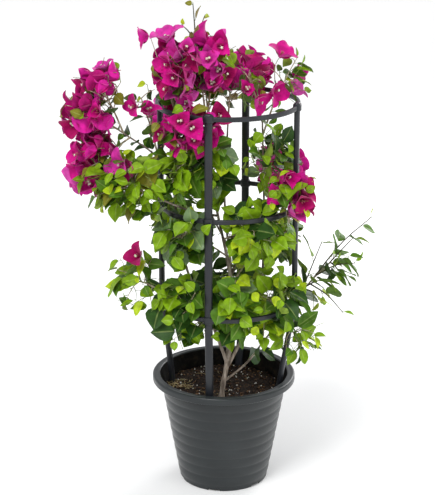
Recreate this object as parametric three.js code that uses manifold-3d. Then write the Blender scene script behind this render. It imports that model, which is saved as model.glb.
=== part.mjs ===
// A bougainvillea bush in its pot, with its stems trained through a round climbing frame.
// Millimetres, +Z up, +Y to the back. The origin is the middle of the pot's flat underside.
import * as THREE from "three";
import { mergeVertices } from "three/addons/utils/BufferGeometryUtils.js";
import Module from "manifold-3d";

const wasm = await Module();
wasm.setup();

// Pot: a tapering nursery pot with soft bands round its wall and a rolled rim.
const POT_HEIGHT = 220;
const RIM_RADIUS = 140;
const RIM_DROP = 14;
const RIM_INNER_RADIUS = 125;
const FOOT_RADIUS = 87;
const WALL_SPREAD = 0.18; // radius gained for each millimetre of height
const WALL = 2.6;
const FLOOR = 4;
const BANDS = 9;
const BAND_DEPTH = 1.8;
const POT_FACETS = 27;
const DRAIN_SLOTS = 6;
const DRAIN_SLOT = [16, 24, 5];

// Soil: fills the pot to a little below the rim.
const SOIL_TOP = 193;
const SOIL_EDGE_DROP = 3;
const SOIL_EDGE_WIDTH = 10;

// Climbing frame: four posts and three rings, standing in the soil.
const FRAME_X = 7;
const FRAME_RADIUS = 133;
const FRAME_TURN = THREE.MathUtils.degToRad(15.6);
const RING_HEIGHTS = { low: 376, middle: 569, top: 762 };
const POST_SIZE = [10, 15];
const FOOT_X = 1;
const POST_FOOT_RADIUS = 104;
const POST_FOOT_HEIGHT = 164;
const COLLAR_GROWTH = 2.5;
const COLLAR_HALF = 7;
const RING_SIZE = [6, 9];
const ARC_STEPS = 9;

const CLEAR = 0.3; // gap between pieces that touch
const STEM_START = 9; // how far along a mass's stem it is clear of its own limb
const UP = new THREE.Vector3(0, 0, 1);

const COLOURS = {
  pot: [0x3c4144, 0.42],
  soil: [0x2c1c12, 0.95],
  frame: [0x23282c, 0.4],
  bark: [0x8d7d6b, 0.85],
  leaves: [0x4f8f2a, 0.5],
  blooms: [0xc2107a, 0.6],
};

const vec = (x, y, z) => new THREE.Vector3(x, y, z);
const lerp = THREE.MathUtils.lerp;

// The same numbers in the same order for the same seed, from 0 to 1.
function seeded(seed) {
  let state = seed >>> 0;
  return () => {
    state = (state + 0x6d2b79f5) >>> 0;
    let t = Math.imul(state ^ (state >>> 15), state | 1);
    t = (t + Math.imul(t ^ (t >>> 7), t | 61)) ^ t;
    return ((t ^ (t >>> 14)) >>> 0) / 4294967296;
  };
}

// Solids and geometries

function solidOf(geometry) {
  const bare = geometry.index ? geometry.toNonIndexed() : geometry.clone();
  bare.deleteAttribute("normal");
  bare.deleteAttribute("uv");
  const merged = mergeVertices(bare, 1e-4);
  return new wasm.Manifold(
    new wasm.Mesh({
      numProp: 3,
      vertProperties: new Float32Array(merged.attributes.position.array),
      triVerts: new Uint32Array(merged.index.array),
    }),
  );
}

function geometryOf(solid) {
  const mesh = solid.getMesh();
  const places = new Float32Array(mesh.numVert * 3);
  for (let i = 0; i < mesh.numVert; i++) {
    places.set(mesh.vertProperties.subarray(i * mesh.numProp, i * mesh.numProp + 3), i * 3);
  }
  const geometry = new THREE.BufferGeometry();
  geometry.setAttribute("position", new THREE.BufferAttribute(places, 3));
  geometry.setIndex(new THREE.BufferAttribute(new Uint32Array(mesh.triVerts), 1));
  geometry.computeVertexNormals();
  return geometry;
}

// The largest piece of a solid: cutting can leave a loose scrap.
function largest(solid) {
  return solid.decompose().reduce((a, b) => (b.volume() > a.volume() ? b : a));
}

// A closed skin over rings of points that run counter-clockwise seen from the far end.
function skin(rings) {
  const count = rings[0].length;
  const places = rings.flat().flatMap((p) => [p.x, p.y, p.z]);
  const faces = [];
  for (let r = 0; r + 1 < rings.length; r++) {
    for (let i = 0; i < count; i++) {
      const j = (i + 1) % count;
      const [a, b, c, d] = [r * count + i, r * count + j, (r + 1) * count + j, (r + 1) * count + i];
      faces.push(a, b, c, a, c, d);
    }
  }
  const last = (rings.length - 1) * count;
  for (let i = 1; i + 1 < count; i++) {
    faces.push(0, i + 1, i, last, last + i, last + i + 1);
  }
  const geometry = new THREE.BufferGeometry();
  geometry.setAttribute("position", new THREE.Float32BufferAttribute(places, 3));
  geometry.setIndex(faces);
  return geometry;
}

// A round tube along points, whose radius runs evenly from first to last, with any grow all round.
function tube(points, first, last, sides, grow = 0) {
  const directions = points.map((p, i) => {
    const before = points[Math.max(i - 1, 0)];
    const after = points[Math.min(i + 1, points.length - 1)];
    return after.clone().sub(before).normalize();
  });
  let across = vec(1, 0, 0).cross(directions[0]);
  if (across.length() < 0.2) across = vec(0, 1, 0).cross(directions[0]);
  const rings = points.map((p, i) => {
    const along = directions[i];
    across = across.sub(along.clone().multiplyScalar(across.dot(along))).normalize();
    const third = along.clone().cross(across);
    const share = i / (points.length - 1);
    const radius = lerp(first, last, share) + grow;
    const shift = i === 0 ? -grow : i === points.length - 1 ? grow : 0;
    const middle = p.clone().addScaledVector(along, shift);
    return Array.from({ length: sides }, (_, k) => {
      const angle = (2 * Math.PI * k) / sides;
      return middle
        .clone()
        .addScaledVector(across, radius * Math.cos(angle))
        .addScaledVector(third, radius * Math.sin(angle));
    });
  });
  return skin(rings);
}

// The corners of an oblong, width by height, counter-clockwise.
function oblong(width, height) {
  const [w, h] = [width / 2, height / 2];
  return [[w, -h], [w, h], [-w, h], [-w, -h]];
}

// Pot and soil

const wallRadius = (z) => FOOT_RADIUS + WALL_SPREAD * z;

// An outline of radius and height, turned round the vertical axis.
function turned(outline) {
  const points = outline.map(([radius, z]) => new THREE.Vector2(radius, z));
  return new THREE.LatheGeometry(points, POT_FACETS).rotateX(Math.PI / 2);
}

function potGeometry() {
  const wallTop = POT_HEIGHT - RIM_DROP;
  const profile = [[0, 0], [FOOT_RADIUS - 3, 0], [FOOT_RADIUS, 3]];
  for (let band = 0; band < BANDS; band++) {
    for (const [share, bulge] of [[0.08, 0], [0.5, 1]]) {
      const z = lerp(8, wallTop - 6, (band + share) / BANDS);
      profile.push([wallRadius(z) - BAND_DEPTH * (1 - bulge), z]);
    }
  }
  profile.push(
    [wallRadius(wallTop) - BAND_DEPTH, wallTop - 3],
    [RIM_RADIUS - 3, wallTop],
    [RIM_RADIUS, wallTop + 3],
    [RIM_RADIUS, POT_HEIGHT - 4],
    [RIM_RADIUS - 4, POT_HEIGHT],
    [RIM_INNER_RADIUS + 3, POT_HEIGHT],
    [RIM_INNER_RADIUS, POT_HEIGHT - 3],
    [wallRadius(wallTop) - BAND_DEPTH - WALL, wallTop - 6],
    [wallRadius(FLOOR) - BAND_DEPTH - WALL, FLOOR],
    [0, FLOOR],
  );
  let pot = solidOf(turned(profile));
  for (let i = 0; i < DRAIN_SLOTS; i++) {
    const slot = new THREE.BoxGeometry(...DRAIN_SLOT);
    slot.translate(FOOT_RADIUS, 0, DRAIN_SLOT[2] / 2 - 1);
    slot.rotateZ((2 * Math.PI * (i + 0.28)) / DRAIN_SLOTS);
    pot = pot.subtract(solidOf(slot));
  }
  return geometryOf(pot);
}

function soilGeometry() {
  const inside = (z) => wallRadius(z) - BAND_DEPTH - WALL - CLEAR;
  const low = FLOOR + CLEAR;
  const edge = SOIL_TOP - SOIL_EDGE_DROP;
  const outline = [
    [0, low],
    [inside(low), low],
    [inside(edge), edge],
    [inside(edge) - SOIL_EDGE_WIDTH, SOIL_TOP],
    [0, SOIL_TOP],
  ];
  let soil = solidOf(turned(outline));
  for (const side of Object.keys(POST_TURNS)) {
    soil = soil.subtract(solidOf(postGeometry(POST_TURNS[side], CLEAR)));
  }
  return geometryOf(soil);
}

// Climbing frame

// How far round from +X each post stands, as quarter turns before the frame's own turn.
const POST_TURNS = { right: 0, back: 1, left: 2, front: 3 };
const postAngle = (quarter) => (quarter * Math.PI) / 2 - FRAME_TURN;

// The post's middle line, from its foot in the soil to its top.
function postLine(quarter) {
  const angle = postAngle(quarter);
  const at = (x, radius, z) => vec(x + radius * Math.cos(angle), radius * Math.sin(angle), z);
  return [
    at(FOOT_X, POST_FOOT_RADIUS, POST_FOOT_HEIGHT),
    at(FRAME_X, FRAME_RADIUS, RING_HEIGHTS.low - COLLAR_HALF),
    at(FRAME_X, FRAME_RADIUS, RING_HEIGHTS.top + COLLAR_HALF),
  ];
}

function postGeometry(quarter, grow = 0) {
  const angle = postAngle(quarter);
  const [foot, bend, top] = postLine(quarter);
  const ring = (centre, extra) =>
    oblong(POST_SIZE[0] + 2 * extra, POST_SIZE[1] + 2 * extra).map(([out, side]) =>
      vec(
        centre.x + out * Math.cos(angle) - side * Math.sin(angle),
        centre.y + out * Math.sin(angle) + side * Math.cos(angle),
        centre.z,
      ),
    );
  const rings = [ring(foot.clone().setZ(foot.z - grow), grow)];
  for (const height of Object.values(RING_HEIGHTS)) {
    const low = bend.clone().setZ(height - COLLAR_HALF);
    const high = bend.clone().setZ(height + COLLAR_HALF);
    rings.push(ring(low, grow), ring(low, grow + COLLAR_GROWTH), ring(high, grow + COLLAR_GROWTH));
    if (high.z < top.z) rings.push(ring(high, grow));
  }
  rings.push(ring(top.clone().setZ(top.z + 2.5), grow - 0.5));
  return skin(rings);
}

// A quarter of a ring, from one post's collar to the next.
function arcAngles(quarter) {
  const half = POST_SIZE[1] / 2 + COLLAR_GROWTH + CLEAR;
  const spare = Math.asin(half / (FRAME_RADIUS - RING_SIZE[0] / 2));
  return [postAngle(quarter) + spare, postAngle(quarter + 1) - spare];
}

function arcLine(quarter, height) {
  const [from, to] = arcAngles(quarter);
  return Array.from({ length: ARC_STEPS }, (_, i) => {
    const angle = lerp(from, to, i / (ARC_STEPS - 1));
    return vec(FRAME_X + FRAME_RADIUS * Math.cos(angle), FRAME_RADIUS * Math.sin(angle), height);
  });
}

function arcGeometry(quarter, height, grow = 0) {
  const [width, tall] = RING_SIZE.map((size) => size + 2 * grow);
  const rings = arcLine(quarter, height).map((p) => {
    const out = vec(p.x - FRAME_X, p.y, 0).normalize();
    return oblong(width, tall).map(([side, rise]) =>
      p.clone().addScaledVector(out, side).addScaledVector(UP, rise),
    );
  });
  return skin(rings.reverse());
}

// Limbs: the main stem and what grows from it, as smooth curves with an even taper.
// Each names its parent, the share of the parent's length where it leaves, the places it passes,
// the place of its tip, and its radius at either end.
const LIMBS = {
  main_stem: {
    from: [-6, -76, SOIL_TOP + CLEAR], radii: [5.2, 4.4],
    via: [[0, -72, 232]],
    tip: [9, -60, 273],
  },
  stem_centre: {
    on: "main_stem", at: 1, radii: [4.0, 1.7],
    via: [[22, -52, 350], [6, -44, 470], [-18, -42, 590]],
    tip: [-34, -24, 742],
  },
  stem_left: {
    on: "main_stem", at: 0.86, radii: [3.4, 1.6],
    via: [[-26, -56, 350], [-66, -58, 440], [-88, -66, 540]],
    tip: [-92, -52, 738],
  },
  stem_right: {
    on: "main_stem", at: 0.72, radii: [3.4, 1.6],
    via: [[42, -44, 322], [70, -22, 400], [76, -18, 520]],
    tip: [72, 2, 724],
  },
  stem_back: {
    on: "main_stem", at: 0.55, radii: [3.2, 1.6],
    via: [[10, -8, 305], [14, 44, 410], [2, 66, 540]],
    tip: [8, 62, 716],
  },
  low_branch: {
    on: "main_stem", at: 0.42, radii: [2.2, 1.5],
    via: [[46, -52, 261], [78, -34, 298]],
    tip: [132, 10, 352],
  },
  left_bough: {
    on: "stem_centre", at: 0.6, radii: [2.4, 1.5],
    via: [[-60, -88, 577]],
    tip: [-142, -112, 618],
  },
  arm_bough: {
    on: "stem_left", at: 0.72, radii: [2.2, 1.4],
    via: [[-118, -66, 668]],
    tip: [-196, -66, 728],
  },
  low_left_bough: {
    on: "stem_left", at: 0.24, radii: [2.0, 1.4],
    via: [[-84, -66, 400]],
    tip: [-134, -66, 420],
  },
  right_bough: {
    on: "stem_right", at: 0.46, radii: [2.2, 1.4],
    via: [[92, -52, 512]],
    tip: [118, -88, 538],
  },
  back_left_bough: {
    on: "stem_back", at: 0.5, radii: [2.2, 1.4],
    via: [[-48, 82, 560]],
    tip: [-104, 92, 640],
  },
  back_right_bough: {
    on: "stem_back", at: 0.4, radii: [2.2, 1.4],
    via: [[60, 72, 500]],
    tip: [112, 98, 540],
  },
};
const LIMB_STEP = 45;
const ROOT_FLARE = 1.55;
const FLARE_HEIGHT = 14;

// Masses: the limb each grows from and the share of its length, then the middle and half size of
// the space it keeps to, how many twigs it has, and what they bear. A mass of long shoots names
// the places of their tips instead of a number of twigs.
const MASSES = {
  shoot_top: {
    on: "stem_centre", at: 1, centre: [-54, -20, 880], half: [46, 42, 84],
    bears: "wisp",
    tips: [[-57, -20, 951], [-36, -16, 928], [-76, -24, 912]],
  },
  crown_top: {
    on: "stem_centre", at: 0.95, centre: [-28, -12, 842], half: [50, 58, 98],
    twigs: 15, bears: "bloom",
  },
  crown_left: {
    on: "stem_left", at: 1, centre: [-82, -44, 832], half: [50, 58, 84],
    twigs: 12, bears: "bloom",
  },
  crown_right: {
    on: "stem_right", at: 1, centre: [46, -4, 812], half: [46, 54, 60],
    twigs: 9, bears: "bloom",
  },
  right_top: {
    on: "stem_right", at: 0.95, centre: [114, 4, 806], half: [58, 50, 60],
    twigs: 6, bears: "bloom",
  },
  front_bloom: {
    on: "stem_left", at: 0.93, centre: [-66, -104, 732], half: [64, 48, 50],
    twigs: 9, bears: "bloom",
  },
  arm_top: {
    on: "arm_bough", at: 0.92, centre: [-226, -56, 804], half: [52, 52, 52],
    twigs: 10, bears: "bloom",
  },
  arm_outer: {
    on: "arm_bough", at: 1, centre: [-250, -68, 752], half: [54, 56, 58],
    twigs: 9, bears: "bloom",
  },
  arm_low: {
    on: "arm_bough", at: 0.84, centre: [-230, -78, 662], half: [58, 52, 76],
    twigs: 13, bears: "bloom",
  },
  arm_inner: {
    on: "arm_bough", at: 0.45, centre: [-152, -58, 784], half: [34, 42, 30],
    twigs: 4, bears: "bloom",
  },
  arm_leaves: {
    on: "left_bough", at: 1, centre: [-178, -106, 632], half: [88, 58, 66],
    twigs: 8, bears: "leaf",
  },
  inner_left: {
    on: "stem_left", at: 0.8, centre: [-92, -92, 646], half: [58, 54, 66],
    twigs: 9, bears: "leaf",
  },
  upper_middle: {
    on: "stem_centre", at: 0.74, centre: [-26, -74, 656], half: [52, 54, 88],
    twigs: 7, bears: "leaf",
  },
  upper_right: {
    on: "stem_right", at: 0.82, centre: [88, -14, 660], half: [56, 58, 86],
    twigs: 7, bears: "leaf",
  },
  right_bloom: {
    on: "right_bough", at: 1, centre: [124, -86, 604], half: [50, 44, 58],
    twigs: 8, bears: "bloom",
  },
  middle_left: {
    on: "stem_left", at: 0.55, centre: [-72, -100, 534], half: [62, 72, 74],
    twigs: 7, bears: "leaf",
  },
  middle_right: {
    on: "stem_centre", at: 0.5, centre: [60, -96, 538], half: [78, 70, 68],
    twigs: 7, bears: "leaf",
  },
  low_left_spray: {
    on: "low_left_bough", at: 1, centre: [-162, -62, 430], half: [64, 56, 66],
    twigs: 5, bears: "leaf",
  },
  low_left: {
    on: "stem_left", at: 0.16, centre: [-76, -90, 388], half: [68, 68, 82],
    twigs: 8, bears: "leaf",
  },
  low_middle: {
    on: "stem_centre", at: 0.22, centre: [12, -96, 388], half: [56, 62, 92],
    twigs: 8, bears: "leaf",
  },
  low_right: {
    on: "stem_right", at: 0.3, centre: [100, -72, 386], half: [64, 66, 92],
    twigs: 6, bears: "leaf",
  },
  right_spray: {
    on: "low_branch", at: 1, centre: [206, 2, 446], half: [110, 62, 138],
    bears: "wisp",
    tips: [
      [281, -12, 542], [250, 16, 492], [252, -14, 450], [230, -22, 352],
      [228, 6, 418], [196, -34, 424], [190, 30, 478], [186, 4, 372],
    ],
  },
  right_low: {
    on: "low_branch", at: 0.72, centre: [138, -60, 324], half: [56, 50, 60],
    twigs: 5, bears: "leaf",
  },
  back_low: {
    on: "stem_back", at: 0.28, centre: [8, 74, 356], half: [96, 62, 102],
    twigs: 6, bears: "leaf",
  },
  back_left: {
    on: "stem_back", at: 0.46, centre: [-106, 52, 500], half: [58, 70, 96],
    twigs: 6, bears: "leaf",
  },
  back_right: {
    on: "stem_back", at: 0.36, centre: [98, 78, 480], half: [62, 60, 90],
    twigs: 5, bears: "leaf",
  },
  back_middle: {
    on: "stem_back", at: 0.72, centre: [-56, 92, 624], half: [60, 54, 78],
    twigs: 7, bears: "leaf",
  },
  back_top: {
    on: "stem_back", at: 1, centre: [14, 86, 792], half: [88, 52, 58],
    twigs: 8, bears: "bloom",
  },
  back_left_bloom: {
    on: "back_left_bough", at: 1, centre: [-102, 90, 704], half: [48, 54, 56],
    twigs: 6, bears: "bloom",
  },
  back_right_bloom: {
    on: "back_right_bough", at: 1, centre: [112, 102, 604], half: [54, 50, 58],
    twigs: 8, bears: "bloom",
  },
};

// What a twig bears: leaf length, width for its length, and how far apart the leaves stand.
const BEARS = {
  leaf: { length: 54, width: 0.84, spacing: 23, flowers: false },
  bloom: { length: 42, width: 0.72, spacing: 44, flowers: true },
  wisp: { length: 36, width: 0.55, spacing: 36, flowers: false },
};
const STEM_RADII = [2.4, 1.7];
const STEM_NODES = 6; // places on each half of a stem where a twig can leave it
const TWIG_RADII = [1.3, 1.1];
const LEAF_THICKNESS = 1.6;
const LEAF_ROOT = 0.4; // how far a leaf's root runs back past the middle of its twig
const LEAF_WIDEST = 0.42; // share of a leaf's length where it is widest
const BRACT_LENGTH = 44;
const BRACT_SPREAD = 0.98; // angle between a bract's tip and the flower's axis
const BRACT_SIDE = [0.62, 0.8, 0.66]; // share of length, angle from the axis, angle round it
const HEART = [3, 2.2, 1.6]; // radius, depth below the twig's end, height above it
const TRIES = 6; // headings tried for a leaf or flower, each smaller than the one before
const SHRINK = 0.94;
const SPACE_MARGIN = 1.3;
const GOLDEN_ANGLE = Math.PI * (3 - Math.sqrt(5));

const limbs = {};

function limbPoint(name, share) {
  return limbs[name].curve.getPointAt(share);
}

function makeLimb(name) {
  const { from, on, at, via, tip } = LIMBS[name];
  const start = from ? vec(...from) : limbPoint(on, at);
  const curve = new THREE.CatmullRomCurve3([start, ...via.map((p) => vec(...p)), vec(...tip)]);
  const steps = Math.max(4, Math.round(curve.getLength() / LIMB_STEP));
  limbs[name] = { curve, points: curve.getSpacedPoints(steps) };
}

function limbTube(name, grow = 0) {
  const sides = name === "main_stem" ? 10 : 5;
  return tube(limbs[name].points, ...LIMBS[name].radii, sides, grow);
}

// The main stem widens just above the soil, where its lowest points are pulled down to a flat cut.
function flareRoot(geometry) {
  const place = geometry.attributes.position;
  const [x, y, z] = LIMBS.main_stem.from;
  for (let i = 0; i < place.count; i++) {
    const height = Math.max(0, place.getZ(i) - z);
    const flare = 1 + (ROOT_FLARE - 1) * Math.max(0, 1 - height / FLARE_HEIGHT) ** 2;
    const low = i < 10;
    place.setXYZ(
      i,
      x + (place.getX(i) - x) * (low ? ROOT_FLARE : flare),
      y + (place.getY(i) - y) * (low ? ROOT_FLARE : flare),
      low ? z : place.getZ(i),
    );
  }
  return geometry;
}

// Whether a solid cuts into the room that other pieces need.
const touches = (solid, room) => !solid.intersect(room).isEmpty();

// Spaces: each mass keeps inside its own ellipsoid and on its own side of a plane to each other mass.

function halfAlong(mass, direction) {
  return 1 / Math.hypot(...direction.toArray().map((d, k) => d / mass.half[k]));
}

function spaceOf(name) {
  const mass = MASSES[name];
  const centre = vec(...mass.centre);
  const planes = Object.keys(MASSES)
    .filter((other) => other !== name)
    .map((other) => {
      const towards = vec(...MASSES[other].centre).sub(centre);
      const distance = towards.length();
      towards.normalize();
      const [mine, theirs] = [halfAlong(mass, towards), halfAlong(MASSES[other], towards)];
      const share = (distance ** 2 + mine ** 2 - theirs ** 2) / (2 * distance ** 2);
      const limit = distance * Math.min(0.8, Math.max(0.2, share)) - SPACE_MARGIN;
      return [towards, limit];
    });
  return (point) => {
    const out = point.clone().sub(centre);
    const reach = Math.hypot(...out.toArray().map((d, k) => d / mass.half[k]));
    return reach <= 1 && planes.every(([towards, limit]) => out.dot(towards) <= limit);
  };
}

// The stem of a mass runs from its limb to the middle of its space. Its bend is moved aside, a
// little further each time, until the stem is clear of the frame, the limbs and the other stems.
function massStem(name, room, otherRoom) {
  const mass = MASSES[name];
  const start = limbPoint(mass.on, mass.at);
  const heart = vec(...mass.centre);
  const length = start.distanceTo(heart);
  const along = heart.clone().sub(start).normalize();
  const side = along.clone().cross(UP).normalize();
  const rise = side.clone().cross(along);
  for (let attempt = 0; attempt < 80; attempt++) {
    const shift = attempt === 0 ? 0 : 0.03 * length + attempt;
    const angle = attempt * GOLDEN_ANGLE;
    const knee = start
      .clone()
      .lerp(heart, 0.5)
      .addScaledVector(UP, 0.06 * length)
      .addScaledVector(side, shift * Math.cos(angle))
      .addScaledVector(rise, shift * Math.sin(angle));
    const away = start.clone().addScaledVector(knee.clone().sub(start).normalize(), STEM_START);
    const whole = solidOf(tube([start, knee, heart], ...STEM_RADII, 4, CLEAR));
    const free = solidOf(tube([away, knee, heart], ...STEM_RADII, 4, CLEAR));
    if (!touches(whole, otherRoom) && !touches(free, room)) return [start, knee, heart];
  }
  throw new Error(`${name}: no clear way for its stem`);
}

// Growth: twigs leave the stem for points spread through the space, and bear leaves and flowers.

function spreadPoint(mass, k, rand) {
  const lift = 1 - (2 * (k + 0.5)) / mass.twigs;
  const angle = k * GOLDEN_ANGLE + rand() * 0.9;
  const flat = Math.sqrt(1 - lift * lift);
  const depth = 0.5 + 0.25 * rand();
  return vec(
    mass.centre[0] + mass.half[0] * depth * flat * Math.cos(angle),
    mass.centre[1] + mass.half[1] * depth * flat * Math.sin(angle),
    mass.centre[2] + mass.half[2] * depth * lift,
  );
}

// A stretch of twig or stem that leaves and flowers grow on.
function shootOf(from, to) {
  return { from, to, along: to.clone().sub(from).normalize() };
}

function growTwigs(mass, [start, knee, heart], inSpace, room, rand) {
  const nodes = [];
  for (const [from, to] of [[start, knee], [knee, heart]]) {
    for (let i = 1; i <= STEM_NODES; i++) nodes.push(from.clone().lerp(to, i / STEM_NODES));
  }
  const free = nodes.filter(inSpace);
  const twigs = [];
  const count = mass.tips ? mass.tips.length : mass.twigs;
  for (let k = 0; k < count; k++) {
    const target = mass.tips ? vec(...mass.tips[k]) : spreadPoint(mass, k, rand);
    if (!inSpace(target)) continue;
    const near = free.filter((node) => node.distanceTo(target) > 12);
    near.sort((a, b) => a.distanceTo(target) - b.distanceTo(target));
    const from = near.find((node) => !touches(solidOf(tube([node, target], ...TWIG_RADII, 3)), room));
    if (!from) continue;
    free.splice(free.indexOf(from), 1);
    twigs.push(shootOf(from, target));
  }
  return twigs;
}

// Which way is out from the bush's middle at a point.
function outwardAt(point) {
  return vec(point.x - FRAME_X, point.y, 0).normalize();
}

const jitter = (rand, size) => vec(rand() - 0.5, rand() - 0.5, rand() - 0.5).multiplyScalar(size);

function body(corners, faces) {
  const geometry = new THREE.BufferGeometry();
  const places = corners.flatMap((corner) => corner.toArray());
  geometry.setAttribute("position", new THREE.Float32BufferAttribute(places, 3));
  geometry.setIndex(faces.flat());
  return { corners, geometry };
}

// A leaf of eight faces: its root in the twig, its two sides and drooping tip, and a ridge.
function makeLeaf(point, along, radial, kind, shrink, rand) {
  const outward = outwardAt(point);
  const direction = along
    .clone()
    .multiplyScalar(0.35)
    .addScaledVector(radial, 0.75)
    .addScaledVector(outward, 0.35)
    .addScaledVector(UP, -0.35 + 0.3 * rand())
    .normalize();
  const facing = outward.clone().multiplyScalar(0.6).addScaledVector(UP, 0.6).add(jitter(rand, 1));
  const normal = facing.addScaledVector(direction, -facing.dot(direction)).normalize();
  const side = direction.clone().cross(normal);
  const length = kind.length * (0.85 + 0.3 * rand()) * shrink;
  const at = (share, across, lift) =>
    point
      .clone()
      .addScaledVector(direction, share * length)
      .addScaledVector(side, across * kind.width * length)
      .addScaledVector(normal, lift);
  const [root, left, tip, right, top, bottom] = [0, 1, 2, 3, 4, 5];
  const corners = [
    at(-LEAF_ROOT / length, 0, 0),
    at(LEAF_WIDEST, 0.5, -0.06 * length),
    at(1, 0, -0.14 * length),
    at(LEAF_WIDEST, -0.5, -0.06 * length),
    at(LEAF_WIDEST, 0, LEAF_THICKNESS / 2),
    at(LEAF_WIDEST, 0, -LEAF_THICKNESS / 2 - 0.03 * length),
  ];
  const faces = [[root, left], [left, tip], [tip, right], [right, root]].flatMap(([a, b]) => [
    [a, b, top],
    [b, a, bottom],
  ]);
  return body(corners, faces);
}

// A flower: three bracts round an axis, joined into a cup. The twig ends in its heart, which is
// one corner above and three below.
function makeFlower(point, along, shrink, rand) {
  const axis = along
    .clone()
    .multiplyScalar(0.5)
    .addScaledVector(outwardAt(point), 0.6)
    .addScaledVector(UP, 0.35)
    .add(jitter(rand, 1.2))
    .normalize();
  const across = axis.clone().cross(UP).normalize();
  const turn = rand() * 2 * Math.PI;
  const length = BRACT_LENGTH * shrink * (0.9 + 0.2 * rand());
  const at = (reach, lean, angle) =>
    point
      .clone()
      .addScaledVector(axis, reach * Math.cos(lean))
      .addScaledVector(across.clone().applyAxisAngle(axis, angle), reach * Math.sin(lean));
  const [heartRadius, heartDepth, heartHeight] = HEART;
  const [sideShare, sideLean, sideTurn] = BRACT_SIDE;
  const heartLean = Math.PI - Math.atan(heartRadius / heartDepth);
  const heartReach = Math.hypot(heartRadius, heartDepth);
  const corners = [at(heartHeight, 0, 0)];
  const faces = [[1, 9, 5]];
  for (let bract = 0; bract < 3; bract++) {
    const middle = turn + (bract * 2 * Math.PI) / 3;
    corners.push(
      at(heartReach, heartLean, middle - Math.PI / 3),
      at(sideShare * length, sideLean, middle - sideTurn),
      at(length, BRACT_SPREAD, middle),
      at(sideShare * length, sideLean, middle + sideTurn),
    );
    const [low, left, tip, right] = [1, 2, 3, 4].map((i) => i + 4 * bract);
    const [nextLow, nextLeft] = [1, 2].map((i) => i + 4 * ((bract + 1) % 3));
    faces.push([0, left, tip], [0, tip, right], [0, right, nextLeft]);
    faces.push([low, tip, left], [low, nextLow, tip], [nextLow, right, tip], [nextLow, nextLeft, right]);
  }
  return body(corners, faces);
}

function massSolid(name, stem, room, index) {
  const mass = MASSES[name];
  const kind = BEARS[mass.bears];
  const rand = seeded(1 + index);
  const inSpace = spaceOf(name);
  const twigs = growTwigs(mass, stem, inSpace, room, rand);
  const grown = [];
  let taken = room;

  // Keeps the first of a few tries that stays in the space and cuts nothing.
  function place(make) {
    for (let attempt = 0; attempt < TRIES; attempt++) {
      const { corners, geometry } = make(SHRINK ** attempt);
      if (!corners.slice(1).every(inSpace)) continue;
      const solid = solidOf(geometry);
      if (touches(solid, taken)) continue;
      taken = taken.add(solid);
      grown.push(solid);
      return 1;
    }
    return 0;
  }

  const shoots = [...twigs, shootOf(stem[1], stem[2])];
  for (const shoot of shoots) {
    const { to, along } = shoot;
    shoot.bears = kind.flowers ? place((shrink) => makeFlower(to, along, shrink, rand)) : 0;
  }
  for (const shoot of shoots) {
    const { from, to, along } = shoot;
    const across = along.clone().cross(Math.abs(along.z) > 0.9 ? vec(1, 0, 0) : UP).normalize();
    const count = Math.floor((0.85 * from.distanceTo(to)) / kind.spacing) + 1;
    const turn = rand() * 2 * Math.PI;
    for (let i = shoot.bears; i < count; i++) {
      const point = to.clone().addScaledVector(along, -1 - i * kind.spacing);
      shoot.bears += place((shrink) => {
        const radial = across.clone().applyAxisAngle(along, turn + i * 2.4 + rand() * 1.4);
        return makeLeaf(point, along, radial, kind, shrink, rand);
      });
    }
  }
  const wood = [tube(stem, ...STEM_RADII, 4)];
  for (const { from, to, bears } of twigs) {
    if (bears > 0) wood.push(tube([from, to], ...TWIG_RADII, 3));
  }
  const whole = wasm.Manifold.union([...wood.map(solidOf), ...grown]);
  return largest(whole.subtract(limbs[mass.on].room));
}

// The bush

const bush = new THREE.Group();

function add(name, geometry, colour) {
  const [color, roughness] = COLOURS[colour];
  const mesh = new THREE.Mesh(geometry, new THREE.MeshStandardMaterial({ color, roughness, metalness: 0 }));
  mesh.name = name;
  bush.add(mesh);
}

add("pot", potGeometry(), "pot");
add("soil", soilGeometry(), "soil");

const frameRooms = [];
for (const [side, quarter] of Object.entries(POST_TURNS)) {
  add(`post_${side}`, postGeometry(quarter), "frame");
  frameRooms.push(solidOf(postGeometry(quarter, CLEAR)));
}
const ARC_SIDES = ["right_to_back", "back_to_left", "left_to_front", "front_to_right"];
for (const [level, height] of Object.entries(RING_HEIGHTS)) {
  ARC_SIDES.forEach((side, quarter) => {
    add(`ring_${level}_${side}`, arcGeometry(quarter, height), "frame");
    frameRooms.push(solidOf(arcGeometry(quarter, height, CLEAR)));
  });
}
const frameRoom = wasm.Manifold.union(frameRooms);

for (const name of Object.keys(LIMBS)) {
  makeLimb(name);
  const shape = name === "main_stem" ? flareRoot(limbTube(name)) : limbTube(name);
  let solid = solidOf(shape);
  for (const { room } of Object.values(limbs)) {
    if (room) solid = solid.subtract(room);
  }
  add(name, geometryOf(largest(solid)), "bark");
  limbs[name].room = solidOf(limbTube(name, CLEAR));
}

// The room of every piece but one, as one solid.
function roomWithout(own, rooms) {
  const others = Object.keys(rooms).filter((name) => name !== own);
  return wasm.Manifold.union([frameRoom, ...others.map((name) => rooms[name])]);
}

const limbRooms = Object.fromEntries(Object.keys(limbs).map((name) => [name, limbs[name].room]));
const stems = {};
const stemRooms = {};
for (const name of Object.keys(MASSES)) {
  const own = MASSES[name].on;
  stems[name] = massStem(name, limbRooms[own], roomWithout(own, { ...limbRooms, ...stemRooms }));
  stemRooms[name] = solidOf(tube(stems[name], ...STEM_RADII, 4, CLEAR));
}
Object.keys(MASSES).forEach((name, index) => {
  const colour = MASSES[name].bears === "bloom" ? "blooms" : "leaves";
  const room = roomWithout(name, { ...limbRooms, ...stemRooms });
  add(name, geometryOf(massSolid(name, stems[name], room, index)), colour);
});

export default bush;
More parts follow.
